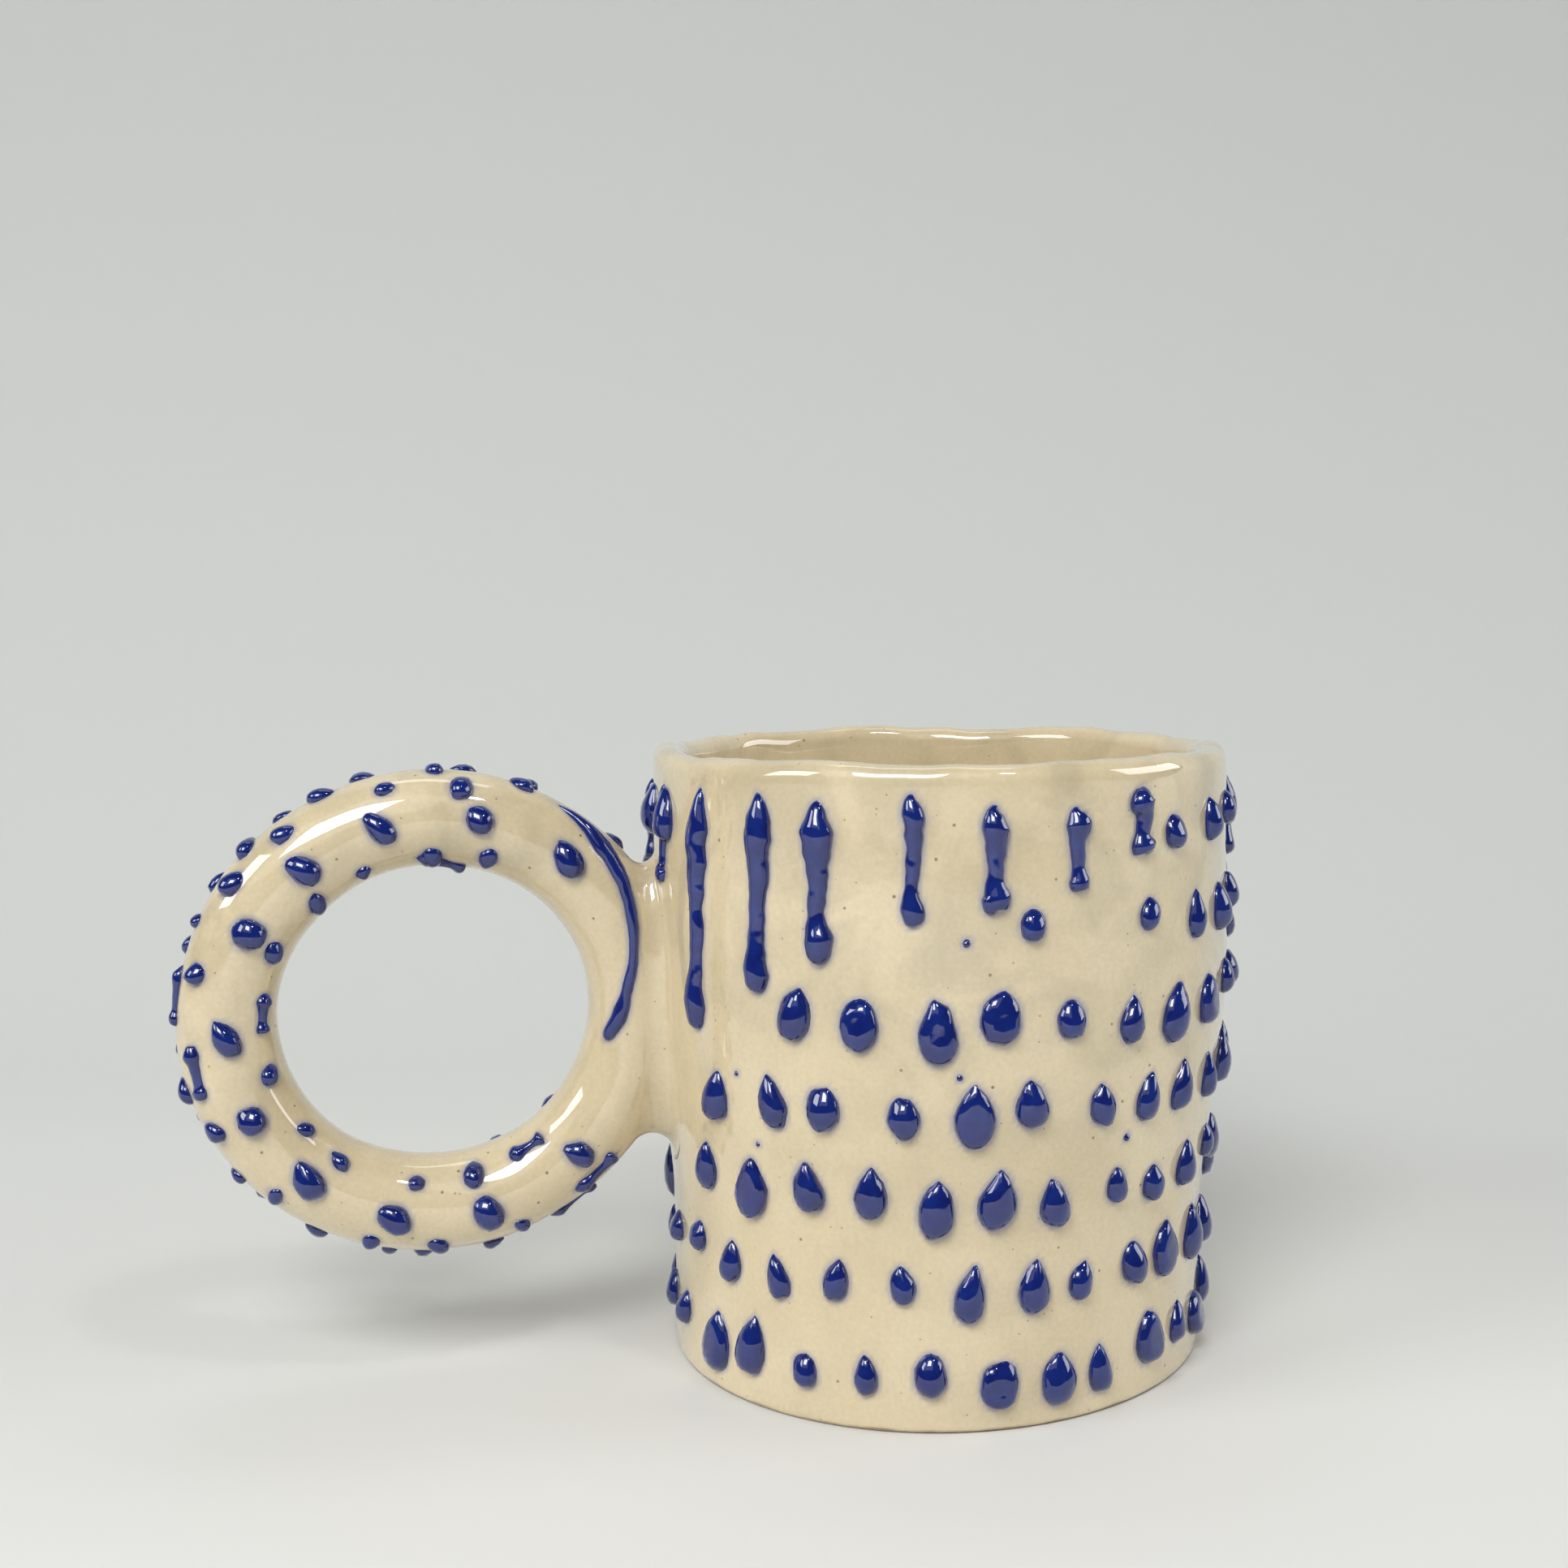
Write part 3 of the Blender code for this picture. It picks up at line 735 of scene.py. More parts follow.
SLIP_INPUTS = {"Clay": "Object", "Sides": "Int", "Rings": "Int", "Sunk": "Float", "Unevenness": "Float"}
slip_finish = bpy.data.materials.new("cobalt_slip_under_clear_glaze")
print("inputs of both trees:", list(SLIP_INPUTS))

# %% [markdown]
# A drop is a ball whose bottom is full and whose top is drawn to a blunt tip, because the nozzle was
# pulled upwards. Its width at each height is a power of how far down it is. A dish is a soft hollow
# taken from the middle of its swell, and a little noise keeps any two drops from being alike.

# %% The tree for drops
TIP_WIDTH = 0.28  # how blunt the thin top of a drop is
DISH_REACH = 0.75  # how far a dish spreads, as a share of the drop
tree, given = shape_tree("piped_drops", SLIP_INPUTS | {"Finish": "Material"})
drop_tree = tree
balls = balls_on_points(tree, given)
kept = {}
for name in ("ball", "half_size", "form", "seed", "across", "along", "centre"):
    kept[name] = add(tree, KEPT, {"Name": name}, data_type="FLOAT_VECTOR")
ball, half, form = (add(tree, SPLIT, [kept[name]]).outputs for name in ("ball", "half_size", "form"))
down = add(tree, MATH, [ball["Z"], -0.5, 0.5], operation="MULTIPLY_ADD")
some_way_down = add(tree, MATH, [down, 0.0001], operation="MAXIMUM")
thin_top = add(tree, MATH, [some_way_down, form["X"]], operation="POWER")
thin_top = add(tree, MATH, [thin_top, 1 - TIP_WIDTH, TIP_WIDTH], operation="MULTIPLY_ADD")
across = add(tree, MATH, [ball["X"], thin_top], operation="MULTIPLY")
across = add(tree, MATH, [across, form["Y"]], operation="MULTIPLY")
flat_place = add(tree, "ShaderNodeCombineXYZ", [ball["X"], 0.0, ball["Z"]])
from_middle = add(tree, VECTOR, [flat_place], operation="LENGTH")
dish = add(tree, RANGE, [from_middle, 0.0, DISH_REACH, 1.0, 0.0], interpolation_type="SMOOTHSTEP")
dish = add(tree, MATH, [dish, form["Z"]], operation="MULTIPLY")
swell = add(tree, MATH, [ball["Y"], 0.0], operation="MAXIMUM")
full_below = add(tree, MATH, [down, 0.6, 0.6], operation="MULTIPLY_ADD")
rise = add(tree, MATH, [swell, full_below], operation="MULTIPLY")
rise = add(tree, MATH, [rise, add(tree, MATH, [1.0, dish], operation="SUBTRACT")], operation="MULTIPLY")
rise = add(tree, MATH, [rise, half["Z"]], operation="MULTIPLY")
shifted = add(tree, VECTOR, [kept["ball"], kept["seed"]])
lumps = add(tree, NOISE, {"Vector": shifted, "Scale": 1.1, "Detail": 1.0}).outputs["Color"]
lumps = add(tree, VECTOR, [lumps, (0.5, 0.5, 0.5)], operation="SUBTRACT")
lumps = add(tree, VECTOR, {0: lumps, "Scale": given["Unevenness"]}, operation="SCALE")
lump = add(tree, SPLIT, [lumps]).outputs
steps = []
for direction, reach, unevenness, size in (
    ("across", across, lump["X"], half["X"]),
    ("along", ball["Z"], lump["Z"], half["Y"]),
):
    step = add(tree, MATH, [add(tree, MATH, [reach, unevenness]), size], operation="MULTIPLY")
    steps.append(add(tree, VECTOR, {0: kept[direction], "Scale": step}, operation="SCALE"))
flat = add(tree, VECTOR, [add(tree, VECTOR, steps), kept["centre"]])
lay_on_clay(tree, given, balls, flat, rise)

# %% [markdown]
# A run could be a curve with a bevel, but it has to lie on the clay and swell and thin on its way. So it is
# a ball drawn out along a path: how far down a point is in its ball says where on the path it goes,
# and the path's own radius there says how wide the run is. Low noise along it makes its edges uneven.

# %% The tree for runs
RUN_UNEVENNESS_SCALE = 330.0  # lumps about 3 mm long
CROSS_SECTION = 0.95  # the power that rounds the section of a run
tree, given = shape_tree("piped_runs", SLIP_INPUTS | {"Paths": "Object", "Finish": "Material"})
runs_tree = tree
balls = balls_on_points(tree, given)
ball = add(tree, SPLIT, [add(tree, KEPT, {"Name": "ball"}, data_type="FLOAT_VECTOR")]).outputs
upright = add(tree, MATH, [add(tree, MATH, [ball["Z"], -1.0], operation="MAXIMUM"), 1.0], operation="MINIMUM")
way_down = add(tree, MATH, [add(tree, MATH, [upright], operation="ARCCOSINE"), math.pi], operation="DIVIDE")
paths = add(tree, "GeometryNodeObjectInfo", {"Object": given["Paths"]}, transform_space="RELATIVE")
path_inputs = {
    "Curves": paths.outputs["Geometry"],
    "Value": add(tree, "GeometryNodeInputRadius"),
    "Factor": way_down,
    "Curve Index": add(tree, KEPT, {"Name": "run"}, data_type="INT"),
}
sample = add(tree, "GeometryNodeSampleCurve", path_inputs).outputs
flat_place = add(tree, "ShaderNodeCombineXYZ", [ball["X"], ball["Y"], 0.0])
flat_length = add(tree, VECTOR, [flat_place], operation="LENGTH")
flat_length = add(tree, MATH, [flat_length, 0.001], operation="MAXIMUM")
sideways = add(tree, MATH, [ball["X"], flat_length], operation="DIVIDE")
upward = add(tree, MATH, [ball["Y"], flat_length], operation="DIVIDE")
upward = add(tree, MATH, [upward, 0.0], operation="MAXIMUM")
upward = add(tree, MATH, [upward, CROSS_SECTION], operation="POWER")
noise_inputs = {"Vector": sample["Position"], "Scale": RUN_UNEVENNESS_SCALE, "Detail": 1.0}
lumps = add(tree, NOISE, noise_inputs).outputs["Color"]
lumps = add(tree, VECTOR, [lumps, (0.5, 0.5, 0.5)], operation="SUBTRACT")
lump = add(tree, SPLIT, [lumps]).outputs
side = add(tree, MATH, [sideways], operation="SIGN")
edge_lump = add(tree, MATH, [lump["X"], side, lump["Y"]], operation="MULTIPLY_ADD")
width_here = add(tree, MATH, [edge_lump, given["Unevenness"], 1.0], operation="MULTIPLY_ADD")
width_here = add(tree, MATH, [width_here, sample["Value"]], operation="MULTIPLY")
height_lump = add(tree, MATH, [lump["Z"], 0.5], operation="MULTIPLY")
thickness = add(tree, KEPT, {"Name": "thickness"}, data_type="FLOAT")
height_here = add(tree, MATH, [height_lump, given["Unevenness"], thickness], operation="MULTIPLY_ADD")
rise = add(tree, MATH, [upward, sample["Value"]], operation="MULTIPLY")
rise = add(tree, MATH, [rise, height_here], operation="MULTIPLY")
outward = clay_normal(tree, clay_geometry(tree, given), sample["Position"])
across_run = add(tree, VECTOR, [sample["Tangent"], outward], operation="CROSS_PRODUCT")
across_run = add(tree, VECTOR, [across_run], operation="NORMALIZE")
side_step = add(tree, MATH, [sideways, width_here], operation="MULTIPLY")
side_step = add(tree, VECTOR, {0: across_run, "Scale": side_step}, operation="SCALE")
flat = add(tree, VECTOR, [sample["Position"], side_step])
lay_on_clay(tree, given, balls, flat, rise)

# %% [markdown]
# The places go to the trees as a cloud of points that carry their sizes. One run of a tree makes all of
# its drops, in order, and they are then cut apart again into pieces: one for each node of the frame,
# and one for each group of smaller drops.

# %% From lists to points and from the result to pieces
DROP_SWELL = 0.5  # height over width of a drop
DROP_LOW, DROP_HIGH = 0.4, 2.3
SUNK = 0.12  # how deep the slip is set into the clay
DROP_UNEVENNESS = 0.4


def rounded_width(point):
    """What a drop is widened by, so that its widest place is as wide as asked."""
    down = np.linspace(0, 1, 200)
    outline = 2 * np.sqrt(down * (1 - down)) * (TIP_WIDTH + (1 - TIP_WIDTH) * down**point)
    return 1 / float(outline.max())


def give_attribute(mesh, name, kind, values):
    field = "vector" if kind == "FLOAT_VECTOR" else "value"
    values = np.array(values, int if kind == "INT" else float)
    mesh.attributes.new(name, kind, "POINT").data.foreach_set(field, values.ravel())


def drop_points(places):
    """A cloud of points for the drop tree from (where, row) pairs."""
    mesh = bpy.data.meshes.new("drop_places")
    mesh.vertices.add(len(places))
    kept = {"centre": [], "across": [], "along": [], "half_size": [], "form": [], "seed": []}
    for number, (where, row) in enumerate(places):
        first, second, width, length, point, lean, dish = row
        place, normal = where(first, second)
        upright = Vector((0, 0, 1))
        along = (upright - normal * upright.dot(normal)).normalized()
        along = Quaternion(normal, math.radians(-lean)) @ along
        swell = min(max(width * DROP_SWELL, DROP_LOW), DROP_HIGH)
        kept["centre"].append(place * MM)
        kept["across"].append(along.cross(normal))
        kept["along"].append(along)
        kept["half_size"].append((width / 2 * MM, length / 2 * MM, swell * MM))
        kept["form"].append((point, rounded_width(point), dish))
        kept["seed"].append((number * 3.7, number * 1.3, 5.0))
    mesh.vertices.foreach_set("co", np.array(kept["centre"]).ravel())
    for name, values in kept.items():
        give_attribute(mesh, name, "FLOAT_VECTOR", [tuple(v) for v in values])
    return put("drop_places", mesh)


def cut_apart(whole, count, groups, names):
    """Cuts a mesh of equal balls, in order, into one object for each group of balls."""
    mesh = whole.data
    per_points = len(mesh.vertices) // count
    per_faces = len(mesh.polygons) // count
    points = np.empty(len(mesh.vertices) * 3, np.float32)
    mesh.vertices.foreach_get("co", points)
    points = points.reshape(count, per_points, 3)
    faces = [list(mesh.polygons[i].vertices) for i in range(per_faces)]
    made = []
    for name, (first, last) in zip(names, groups, strict=True):
        number = last - first
        all_faces = [[v + k * per_points for v in face] for k in range(number) for face in faces]
        piece = bpy.data.meshes.new(name)
        piece.from_pydata(points[first:last].reshape(-1, 3), [], all_faces)
        piece.shade_smooth()
        piece.materials.append(slip_finish)
        bm = bmesh.new()
        bm.from_mesh(piece)
        bm.normal_update()
        bmesh.ops.recalc_face_normals(bm, faces=bm.faces)
        bm.to_mesh(piece)
        bm.free()
        made.append(put(name, piece))
    bpy.data.objects.remove(whole)
    return made


def lay_drops(names, lists, sides, rings):
    """Lays drops: lists holds, for each name, its (where, row) pairs."""
    places = [pair for each in lists for pair in each]
    ends = np.cumsum([0] + [len(each) for each in lists])
    cloud = drop_points(places)
    values = {"Clay": clay_skin, "Sides": sides, "Rings": rings, "Sunk": SUNK * MM}
    values |= {"Unevenness": DROP_UNEVENNESS, "Finish": slip_finish}
    whole = run_tree(drop_tree, cloud, values, "all_drops")
    bpy.data.objects.remove(cloud)
    made = cut_apart(whole, len(places), list(zip(ends[:-1], ends[1:])), names)
    print("laid", len(places), "drops in", len(made), "pieces of", sides, "by", rings)
    return made


# %% [markdown]
# The near side has finer balls than the far side. A drop that is a node of the frame gets a piece of its own,
# and the small ones are joined, one piece for the wall and one for the ring.

# %% The drops laid
NEAR_BALL, FAR_BALL = (16, 12), (12, 8)  # sides and rings of the ball that a drop is made of


def at(where, rows):
    return [(where, row) for row in rows]


node_names = [f"drop_wall_{i + 1:02d}" for i in range(DROP_NODES)]
node_names += [f"drop_ring_{i + 1:02d}" for i in range(RING_DROPS)]
node_lists = [at(on_wall, [row]) for row in wall_drop_rows[:DROP_NODES]]
node_lists += [at(on_ring, [row]) for row in ring_rows]
near_names = ["slip_" + name for name in node_names] + ["slip_drops_wall_small", "slip_drops_ring_small"]
near_lists = [*node_lists, at(on_wall, wall_drop_rows[DROP_NODES:] + dots), at(on_ring, small_ring_drops)]
near_pieces = lay_drops(near_names, near_lists, *NEAR_BALL)
far_lists = [at(on_wall, back_wall_drops), at(on_ring, back_ring_drops)]
far_pieces = lay_drops(["slip_drops_wall_back", "slip_drops_ring_back"], far_lists, *FAR_BALL)

# %% [markdown]
# A run's places are made a smooth curve first, with the run's half width kept as the curve's radius. The
# tree then draws a long ball along each curve.

# %% The runs laid
RUN_THICKNESS = 0.95
RUN_UNEVENNESS = 0.7
RUN_SIDES, RUN_RINGS = 16, 60


def smooth_path(points, steps=9):
    """A smooth list through the points, by Catmull and Rom's rule."""
    points = [Vector(p) for p in points]
    out = []
    for i in range(len(points) - 1):
        a, b, c, d = (points[min(max(k, 0), len(points) - 1)] for k in (i - 1, i, i + 1, i + 2))
        for k in range(steps):
            s = k / steps
            out.append(b + 0.5 * s * (c - a + s * (2 * a - 5 * b + 4 * c - d + s * (3 * (b - c) + d - a))))
    return out + [points[-1]]


def lay_runs(names, lists):
    """Lays runs: lists holds, for each name, its (where, rows) pairs."""
    runs = [pair for each in lists for pair in each]
    ends = np.cumsum([0] + [len(each) for each in lists])
    curve = bpy.data.curves.new("run_paths", "CURVE")
    curve.dimensions = "3D"
    for where, rows in runs:
        path = smooth_path(rows)
        spline = curve.splines.new("POLY")
        spline.points.add(len(path) - 1)
        for spot, step in zip(spline.points, path, strict=True):
            spot.co = (*(where(step[0], step[1])[0] * MM), 1)
            spot.radius = max(step[2], 0.02) * MM
    paths = put("run_paths", curve)
    mesh = bpy.data.meshes.new("run_places")
    mesh.vertices.add(len(runs))
    give_attribute(mesh, "run", "INT", list(range(len(runs))))
    give_attribute(mesh, "thickness", "FLOAT", [RUN_THICKNESS] * len(runs))
    cloud = put("run_places", mesh)
    values = {"Clay": clay_skin, "Paths": paths, "Sides": RUN_SIDES, "Rings": RUN_RINGS}
    values |= {"Sunk": SUNK * MM, "Unevenness": RUN_UNEVENNESS, "Finish": slip_finish}
    whole = run_tree(runs_tree, cloud, values, "all_runs")
    bpy.data.objects.remove(cloud)
    bpy.data.objects.remove(paths)
    made = cut_apart(whole, len(runs), list(zip(ends[:-1], ends[1:])), names)
    print("laid", len(runs), "runs")
    return made


run_nodes = [f"run_wall_{i + 1:02d}" for i in range(RUNS)]
run_nodes += [f"run_ring_{i + 1:02d}" for i in range(len(RING_RUNS))]
run_lists = [at(on_wall, [rows]) for rows in wall_run_rows] + [at(on_ring, [rows]) for rows in ring_run_rows]
run_names = ["slip_" + name for name in run_nodes]
run_names += ["slip_runs_wall_small", "slip_runs_ring_small", "slip_runs_wall_back"]
run_lists += [at(on_wall, join_run_rows), at(on_ring, short_ring_runs), at(on_wall, back_wall_runs)]
run_pieces = lay_runs(run_names, run_lists)

# %% [markdown]
# Cobalt is strong, and a little of it bleeds out of the slip into the cream glaze around every drop.
# A tree measures how far each point of the clay is from the nearest slip and keeps the answer on
# the clay as an attribute, which the glaze reads later.

# %% How near each point of the clay is to the slip
BLEED_REACH = 0.7
all_slip = bmesh.new()
for piece in near_pieces + far_pieces + run_pieces:
    all_slip.from_mesh(piece.data)
slip_mesh = bpy.data.meshes.new("all_slip")
all_slip.to_mesh(slip_mesh)
all_slip.free()
slip_object = put("all_slip", slip_mesh)

bleed_tree, given = shape_tree("slip_bleed", {"Slip": "Object", "Reach": "Float", "Finish": "Material"})
slip = add(bleed_tree, "GeometryNodeObjectInfo", {"Object": given["Slip"]}, transform_space="RELATIVE")
near = add(bleed_tree, "GeometryNodeProximity", [slip.outputs["Geometry"]]).outputs["Distance"]
bleed = add(bleed_tree, RANGE, [near, 0.0, given["Reach"], 1.0, 0.0], interpolation_type="SMOOTHSTEP")
kept_as = {"Geometry": given["Geometry"], "Name": "bleed", "Value": bleed}
stored = add(bleed_tree, "GeometryNodeStoreNamedAttribute", kept_as, data_type="FLOAT")
close_tree(bleed_tree, stored, given["Finish"])


def with_bleed(piece, name):
    values = {"Slip": slip_object, "Reach": BLEED_REACH * MM, "Finish": clay_finish}
    made = run_tree(bleed_tree, piece, values, name)
    bpy.data.objects.remove(piece)
    return made


wall_piece = with_bleed(cup_wall, "glazed_wall")
ring_piece = with_bleed(ring, "glazed_ring")
join_piece = with_bleed(join, "glazed_join")
base_piece = with_bleed(cup_base, "glazed_base")
bpy.data.objects.remove(slip_object)
bpy.data.objects.remove(clay_skin)
print("clay pieces:", [o.name for o in (wall_piece, ring_piece, join_piece, base_piece)])


# %% [markdown]
# Colours are written as sRGB hex, as a colour picker gives them, and this turns them to the linear values
# that a shader takes.

# %% Colour
def linear(code):
    parts = [int(code[i : i + 2], 16) / 255 for i in (1, 3, 5)]
    return (*(p / 12.92 if p <= 0.04045 else ((p + 0.055) / 1.055) ** 2.4 for p in parts), 1.0)


def empty_tree(finish):
    """Clears a material's tree and gives it back."""
    finish.use_nodes = True
    finish.node_tree.nodes.clear()
    return finish.node_tree


UNDER, OVER = 6, 7  # the two colour sockets of a mix of colours
print("mid grey, linear:", linear("#808080"))

# %% [markdown]
# The body is a buff stoneware with a little iron, under a clear glossy glaze fired to about 1240 degrees.
# The clay shows through as warm cream, slightly clouded where the glaze is thick, with dark iron
# specks of 0.2 to 0.6 mm. The upper wall is also painted greyer, a painted shade for the dark room that its
# glaze would mirror. The glaze is glass, IOR about 1.5, nearly smooth, with a faint orange peel
# whose waves are 2 to 6 mm. The foot was wiped, so the clay is bare and matt there.

# %% The cream glaze
SPECK_STRENGTH, BLEED_STRENGTH = 0.75, 0.5
BARE_EDGE, BARE_FADE = 0.0003, 0.0004  # metres: how ragged the glaze's end is, and how soft
tree = empty_tree(clay_finish)
place = add(tree, "ShaderNodeTexCoord").outputs["Object"]
cloud = add(tree, NOISE, {"Vector": place, "Scale": 45.0, "Detail": 4.0, "Roughness": 0.55})
cloud = add(tree, RANGE, [cloud, 0.38, 0.66])
creams = {0: cloud, UNDER: linear("#E9D8B4"), OVER: linear("#DFCDA7")}
body = add(tree, MIX, creams, data_type="RGBA")
veil_and_painted_shade = add(tree, NOISE, {"Vector": place, "Scale": 90.0, "Detail": 6.0, "Distortion": 0.8})
veil_and_painted_shade = add(tree, RANGE, [veil_and_painted_shade, 0.45, 0.7, 0.0, 0.6])
# Over the real veils, the wall is painted greyer with height: painted shade for the dark room that the glaze
# would mirror up there.
height = add(tree, SPLIT, [place]).outputs["Z"]
painted_shade_high_up = add(tree, RANGE, [height, 0.03, 0.06, 0.25, 1.0])
veil_and_painted_shade = add(tree, MATH, [veil_and_painted_shade, 0.22])
veil_and_painted_shade = add(tree, MATH, [veil_and_painted_shade, painted_shade_high_up], operation="MULTIPLY")
body = add(tree, MIX, {0: veil_and_painted_shade, UNDER: body, OVER: linear("#C6B898")}, data_type="RGBA")
grain = add(tree, NOISE, {"Vector": place, "Scale": 1500.0, "Detail": 2.0})
grain = add(tree, RANGE, [grain, 0.3, 0.7, 0.955, 1.03])
grain = add(tree, "ShaderNodeCombineColor", [grain, grain, grain])
body = add(tree, MIX, {0: 1.0, UNDER: body, OVER: grain}, data_type="RGBA", blend_type="MULTIPLY")


def specks(cell_mm, size, share, colour, under):
    """Iron specks: a few of the cells of a Voronoi pattern, each a small dot near its middle."""
    cells = add(tree, "ShaderNodeTexVoronoi", {"Vector": place, "Scale": 1000 / cell_mm, "Randomness": 1.0})
    pick = add(tree, "ShaderNodeSeparateColor", [cells.outputs["Color"]])
    chosen = add(tree, MATH, [pick, 1 - share], operation="GREATER_THAN")
    dot = add(tree, RANGE, [cells.outputs["Distance"], size, size * 0.5])
    amount = add(tree, MATH, [chosen, dot], operation="MULTIPLY")
    amount = add(tree, MATH, [amount, SPECK_STRENGTH], operation="MULTIPLY")
    return add(tree, MIX, {0: amount, UNDER: under, OVER: linear(colour)}, data_type="RGBA")


body = specks(2.2, 0.13, 0.12, "#6E5A3C", body)
body = specks(1.2, 0.16, 0.10, "#9C8760", body)
body = specks(6.0, 0.05, 0.16, "#3A2C1C", body)
bleeding = add(tree, "ShaderNodeAttribute", attribute_name="bleed").outputs["Fac"]
bleeding = add(tree, MATH, [bleeding, BLEED_STRENGTH], operation="MULTIPLY")
body = add(tree, MIX, {0: bleeding, UNDER: body, OVER: linear("#7281B8")}, data_type="RGBA")
ragged = add(tree, NOISE, {"Vector": place, "Scale": 160.0, "Detail": 2.0})
ragged = add(tree, MATH, [ragged, 4 * BARE_EDGE, -BARE_EDGE], operation="MULTIPLY_ADD")
above = add(tree, MATH, [height, ragged], operation="SUBTRACT")
bare = add(tree, RANGE, [above, BARE_FADE, 0.0, 0.0, 1.0])
grit = add(tree, NOISE, {"Vector": place, "Scale": 900.0, "Detail": 3.0})
bare_clay = {0: grit, UNDER: linear("#8C7650"), OVER: linear("#B9A27A")}
bare_clay = add(tree, MIX, bare_clay, data_type="RGBA")
body = add(tree, MIX, {0: bare, UNDER: body, OVER: bare_clay}, data_type="RGBA")
gloss = add(tree, NOISE, {"Vector": place, "Scale": 120.0, "Detail": 3.0})
gloss = add(tree, RANGE, [gloss, 0.3, 0.7, 0.02, 0.06])
gloss = add(tree, MIX, {0: bare, 2: gloss, 3: 0.75}, data_type="FLOAT")
peel = add(tree, NOISE, {"Vector": place, "Scale": 260.0, "Detail": 2.0})
peel = add(tree, BUMP, {"Height": peel, "Strength": 0.25, "Distance": 0.00006})
sand = add(tree, MATH, [grit, bare], operation="MULTIPLY")
rough = add(tree, BUMP, {"Height": sand, "Strength": 0.6, "Distance": 0.0002, "Normal": peel})
glaze = {"Base Color": body, "Roughness": gloss, "Normal": rough, "IOR": 1.5}
glaze |= {"Coat Weight": 1.0, "Coat IOR": 1.55, "Coat Roughness": 0.015}
add(tree, "ShaderNodeOutputMaterial", {"Surface": add(tree, "ShaderNodeBsdfPrincipled", glaze)})
print("nodes in the cream glaze:", len(tree.nodes))

# %% [markdown]
# The drops are thick slip, clay stained with cobalt, under the same clear glaze. Where it is thick the
# blue is almost black-blue, and its surface is liquid smooth, so it mirrors the lamps as small bright dots.

# %% The blue slip
tree = empty_tree(slip_finish)
place = add(tree, "ShaderNodeTexCoord").outputs["Object"]
mottle = add(tree, NOISE, {"Vector": place, "Scale": 420.0, "Detail": 3.0})
mottle = add(tree, RANGE, [mottle, 0.35, 0.7])
blues = {0: mottle, UNDER: linear("#071A68"), OVER: linear("#0F2878")}
blue = add(tree, MIX, blues, data_type="RGBA")
soft = add(tree, NOISE, {"Vector": place, "Scale": 300.0, "Detail": 2.0})
shine = add(tree, RANGE, [soft, 0.3, 0.7, 0.01, 0.03])
dimple = add(tree, BUMP, {"Height": soft, "Strength": 0.2, "Distance": 0.00008})
glaze = {"Base Color": blue, "Roughness": shine, "Normal": dimple, "IOR": 1.5}
glaze |= {"Coat Weight": 0.75, "Coat IOR": 1.6, "Coat Roughness": 0.01}
add(tree, "ShaderNodeOutputMaterial", {"Surface": add(tree, "ShaderNodeBsdfPrincipled", glaze)})
print("nodes in the blue slip:", len(tree.nodes))

# %% [markdown]
# Each piece now takes the place of its node in the frame and rides on the one body that the mug is.

# %% Pieces and nodes
for piece, node, slot in (
    (wall_piece, "mug_wall", "cream_glaze"),
    (base_piece, "mug_floor", "cup_base"),
    (ring_piece, "ring_handle", "cream_glaze"),
    (join_piece, "handle_joint", "cream_glaze"),
):
    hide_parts(node)
    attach(piece, "root")
for piece in near_pieces + far_pieces + run_pieces:
    node = piece.name.removeprefix("slip_")
    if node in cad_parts:
        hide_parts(node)
    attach(piece, "root")
print("pieces:", 4 + len(near_pieces + far_pieces + run_pieces))

# %% [markdown]
# The studio is one white matt paper: a pale table top that sweeps up behind the mug. It is painted darker
# away from the camera and greyer up the sweep, a painted shade for the light that falls off there. The sweep
# is one
# sheet: a flat front, a quarter of a wide circle and a wall, turned to face the camera.

# %% The floor and the sweep
VIEW_TURN = math.radians(13.6)
SWEEP_FROM = 130.0
SWEEP_RADIUS = 330.0
SWEEP_HALF = 1600.0
sweep_line = [(-1500.0, 0.0), (0.0, 0.0), (SWEEP_FROM, 0.0)]
for bend in np.linspace(0, math.pi / 2, 25)[1:]:
    sweep_line.append((SWEEP_FROM + SWEEP_RADIUS * math.sin(bend), SWEEP_RADIUS * (1 - math.cos(bend))))
sweep_line.append((SWEEP_FROM + SWEEP_RADIUS, 1800.0))
away = Vector((math.sin(VIEW_TURN), math.cos(VIEW_TURN), 0))
aside = Vector((away.y, -away.x, 0))
sweep_points = []
for out, up in sweep_line:
    for side in (-SWEEP_HALF, SWEEP_HALF):
        sweep_points.append((away * out + aside * side + Vector((0, 0, up))) * MM)
sweep_faces = [(2 * i, 2 * i + 1, 2 * i + 3, 2 * i + 2) for i in range(len(sweep_line) - 1)]
sweep_mesh = bpy.data.meshes.new("studio_sweep")
sweep_mesh.from_pydata(sweep_points, [], sweep_faces)
sweep_mesh.shade_smooth()
paper = bpy.data.materials.new("matt_white_table_and_paper")
tree = empty_tree(paper)
place = add(tree, "ShaderNodeTexCoord").outputs["Object"]
away_flat = (math.sin(VIEW_TURN), math.cos(VIEW_TURN), 0)
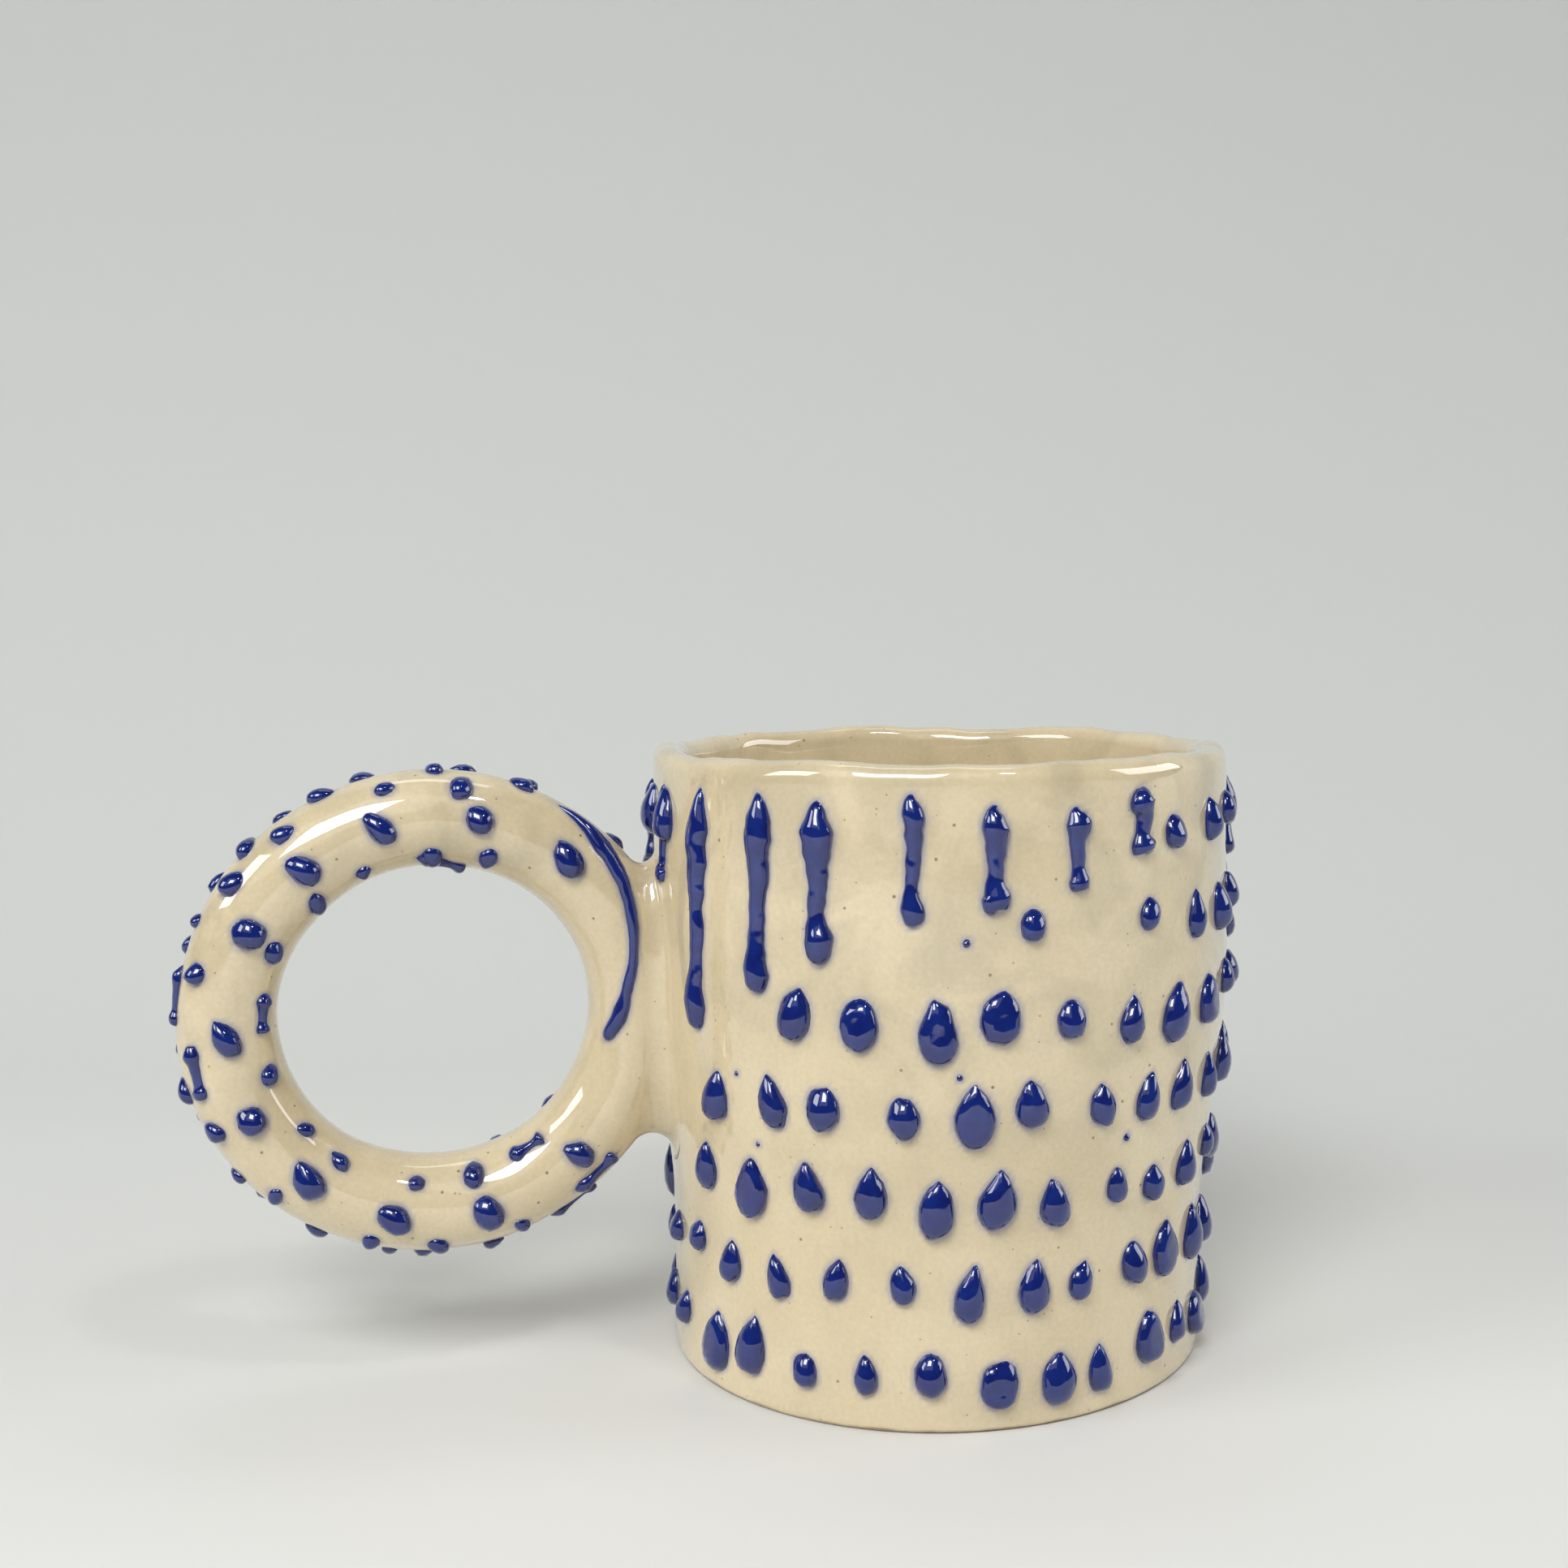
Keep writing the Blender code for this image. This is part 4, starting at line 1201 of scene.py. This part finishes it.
# Painted shade: the paper gets darker away from the camera and greyer with height, for the light falling off,
# not for the paper's own colour.
far = add(tree, VECTOR, [place, away_flat], operation="DOT_PRODUCT")
far = add(tree, RANGE, [far, -0.08, 0.16])
high = add(tree, RANGE, [add(tree, SPLIT, [place]).outputs["Z"], 0.02, 0.36])
painted_falloff_colours = {0: far, UNDER: linear("#EAEAE7"), OVER: linear("#DDDEDB")}
paper_with_painted_shade = add(tree, MIX, painted_falloff_colours, data_type="RGBA")
paper_with_painted_shade = add(tree, MIX, {0: high, UNDER: paper_with_painted_shade, OVER: linear("#CDD0CD")}, data_type="RGBA")
matt = {"Base Color": paper_with_painted_shade, "Roughness": 0.85, "Specular IOR Level": 0.2}
add(tree, "ShaderNodeOutputMaterial", {"Surface": add(tree, "ShaderNodeBsdfPrincipled", matt)})
sweep_mesh.materials.append(paper)
put("studio_sweep", sweep_mesh)
print("sweep faces:", len(sweep_faces))

# %% [markdown]
# One large soft lamp stands above the camera and to its left. It draws the long bright strip on the ring
# and the dots on the drops. A small lamp to the right adds the second dot, a wide dim one from the
# left softens the shadow, and the room itself gives a low grey light.

# %% The lamps
LAMP_TARGET = Vector((-0.02, 0, 0.05))


def lamp(name, turn, rise, distance, width, height, power):
    """An area lamp aimed at the mug: turn from the camera's side, to the right, and rise, in degrees."""
    data = bpy.data.lights.new(name, "AREA")
    data.shape = "RECTANGLE"
    data.size, data.size_y = width, height
    data.energy = power
    made = put(name, data)
    bearing = VIEW_TURN + math.pi - math.radians(turn)
    flat = Vector((math.sin(bearing), math.cos(bearing), 0)) * math.cos(math.radians(rise))
    made.location = LAMP_TARGET + (flat + Vector((0, 0, math.sin(math.radians(rise))))) * distance
    made.rotation_euler = (made.location - LAMP_TARGET).to_track_quat("Z", "Y").to_euler()


lamp("key_softbox", -18, 43, 1.0, 0.42, 0.34, 5.0)
lamp("key_spill", -18, 43, 1.05, 1.0, 0.75, 1.4)
lamp("small_right", 35, 56, 1.1, 0.08, 0.08, 0.9)
lamp("left_window", -66, 30, 1.6, 0.6, 0.6, 6.6)
lamp("right_window", 88, 20, 1.6, 0.9, 0.7, 7.5)
lamp("overhead", 180, 75, 1.5, 0.8, 0.3, 1.6)
world = bpy.data.worlds.new("grey_room")
world.use_nodes = True
world.node_tree.nodes["Background"].inputs[0].default_value = linear("#C4C8CC")
world.node_tree.nodes["Background"].inputs[1].default_value = 0.12
bpy.context.scene.world = world
bpy.context.scene.view_settings.view_transform = "Standard"
print("lamps:", len(bpy.data.lights))

# %% [markdown]
# The camera is a little above the lip and looks slightly down, with a normal lens.

# %% The camera
CAMERA_PLACE = Vector((-0.0860, -0.2582, 0.1087))
CAMERA_WAY = Vector((0.2341, 0.9681, -0.0908))
CAMERA_ROLL = math.radians(-0.5)
lens = bpy.data.cameras.new("camera")
lens.lens = 41.4
lens.sensor_width = 36.0
lens.clip_start = 0.01
camera = put("camera", lens)
camera.location = CAMERA_PLACE
camera.rotation_mode = "QUATERNION"
camera.rotation_quaternion = CAMERA_WAY.to_track_quat("-Z", "Y") @ Quaternion((0, 0, 1), CAMERA_ROLL)
bpy.context.scene.camera = camera
print("camera:", list(CAMERA_PLACE))
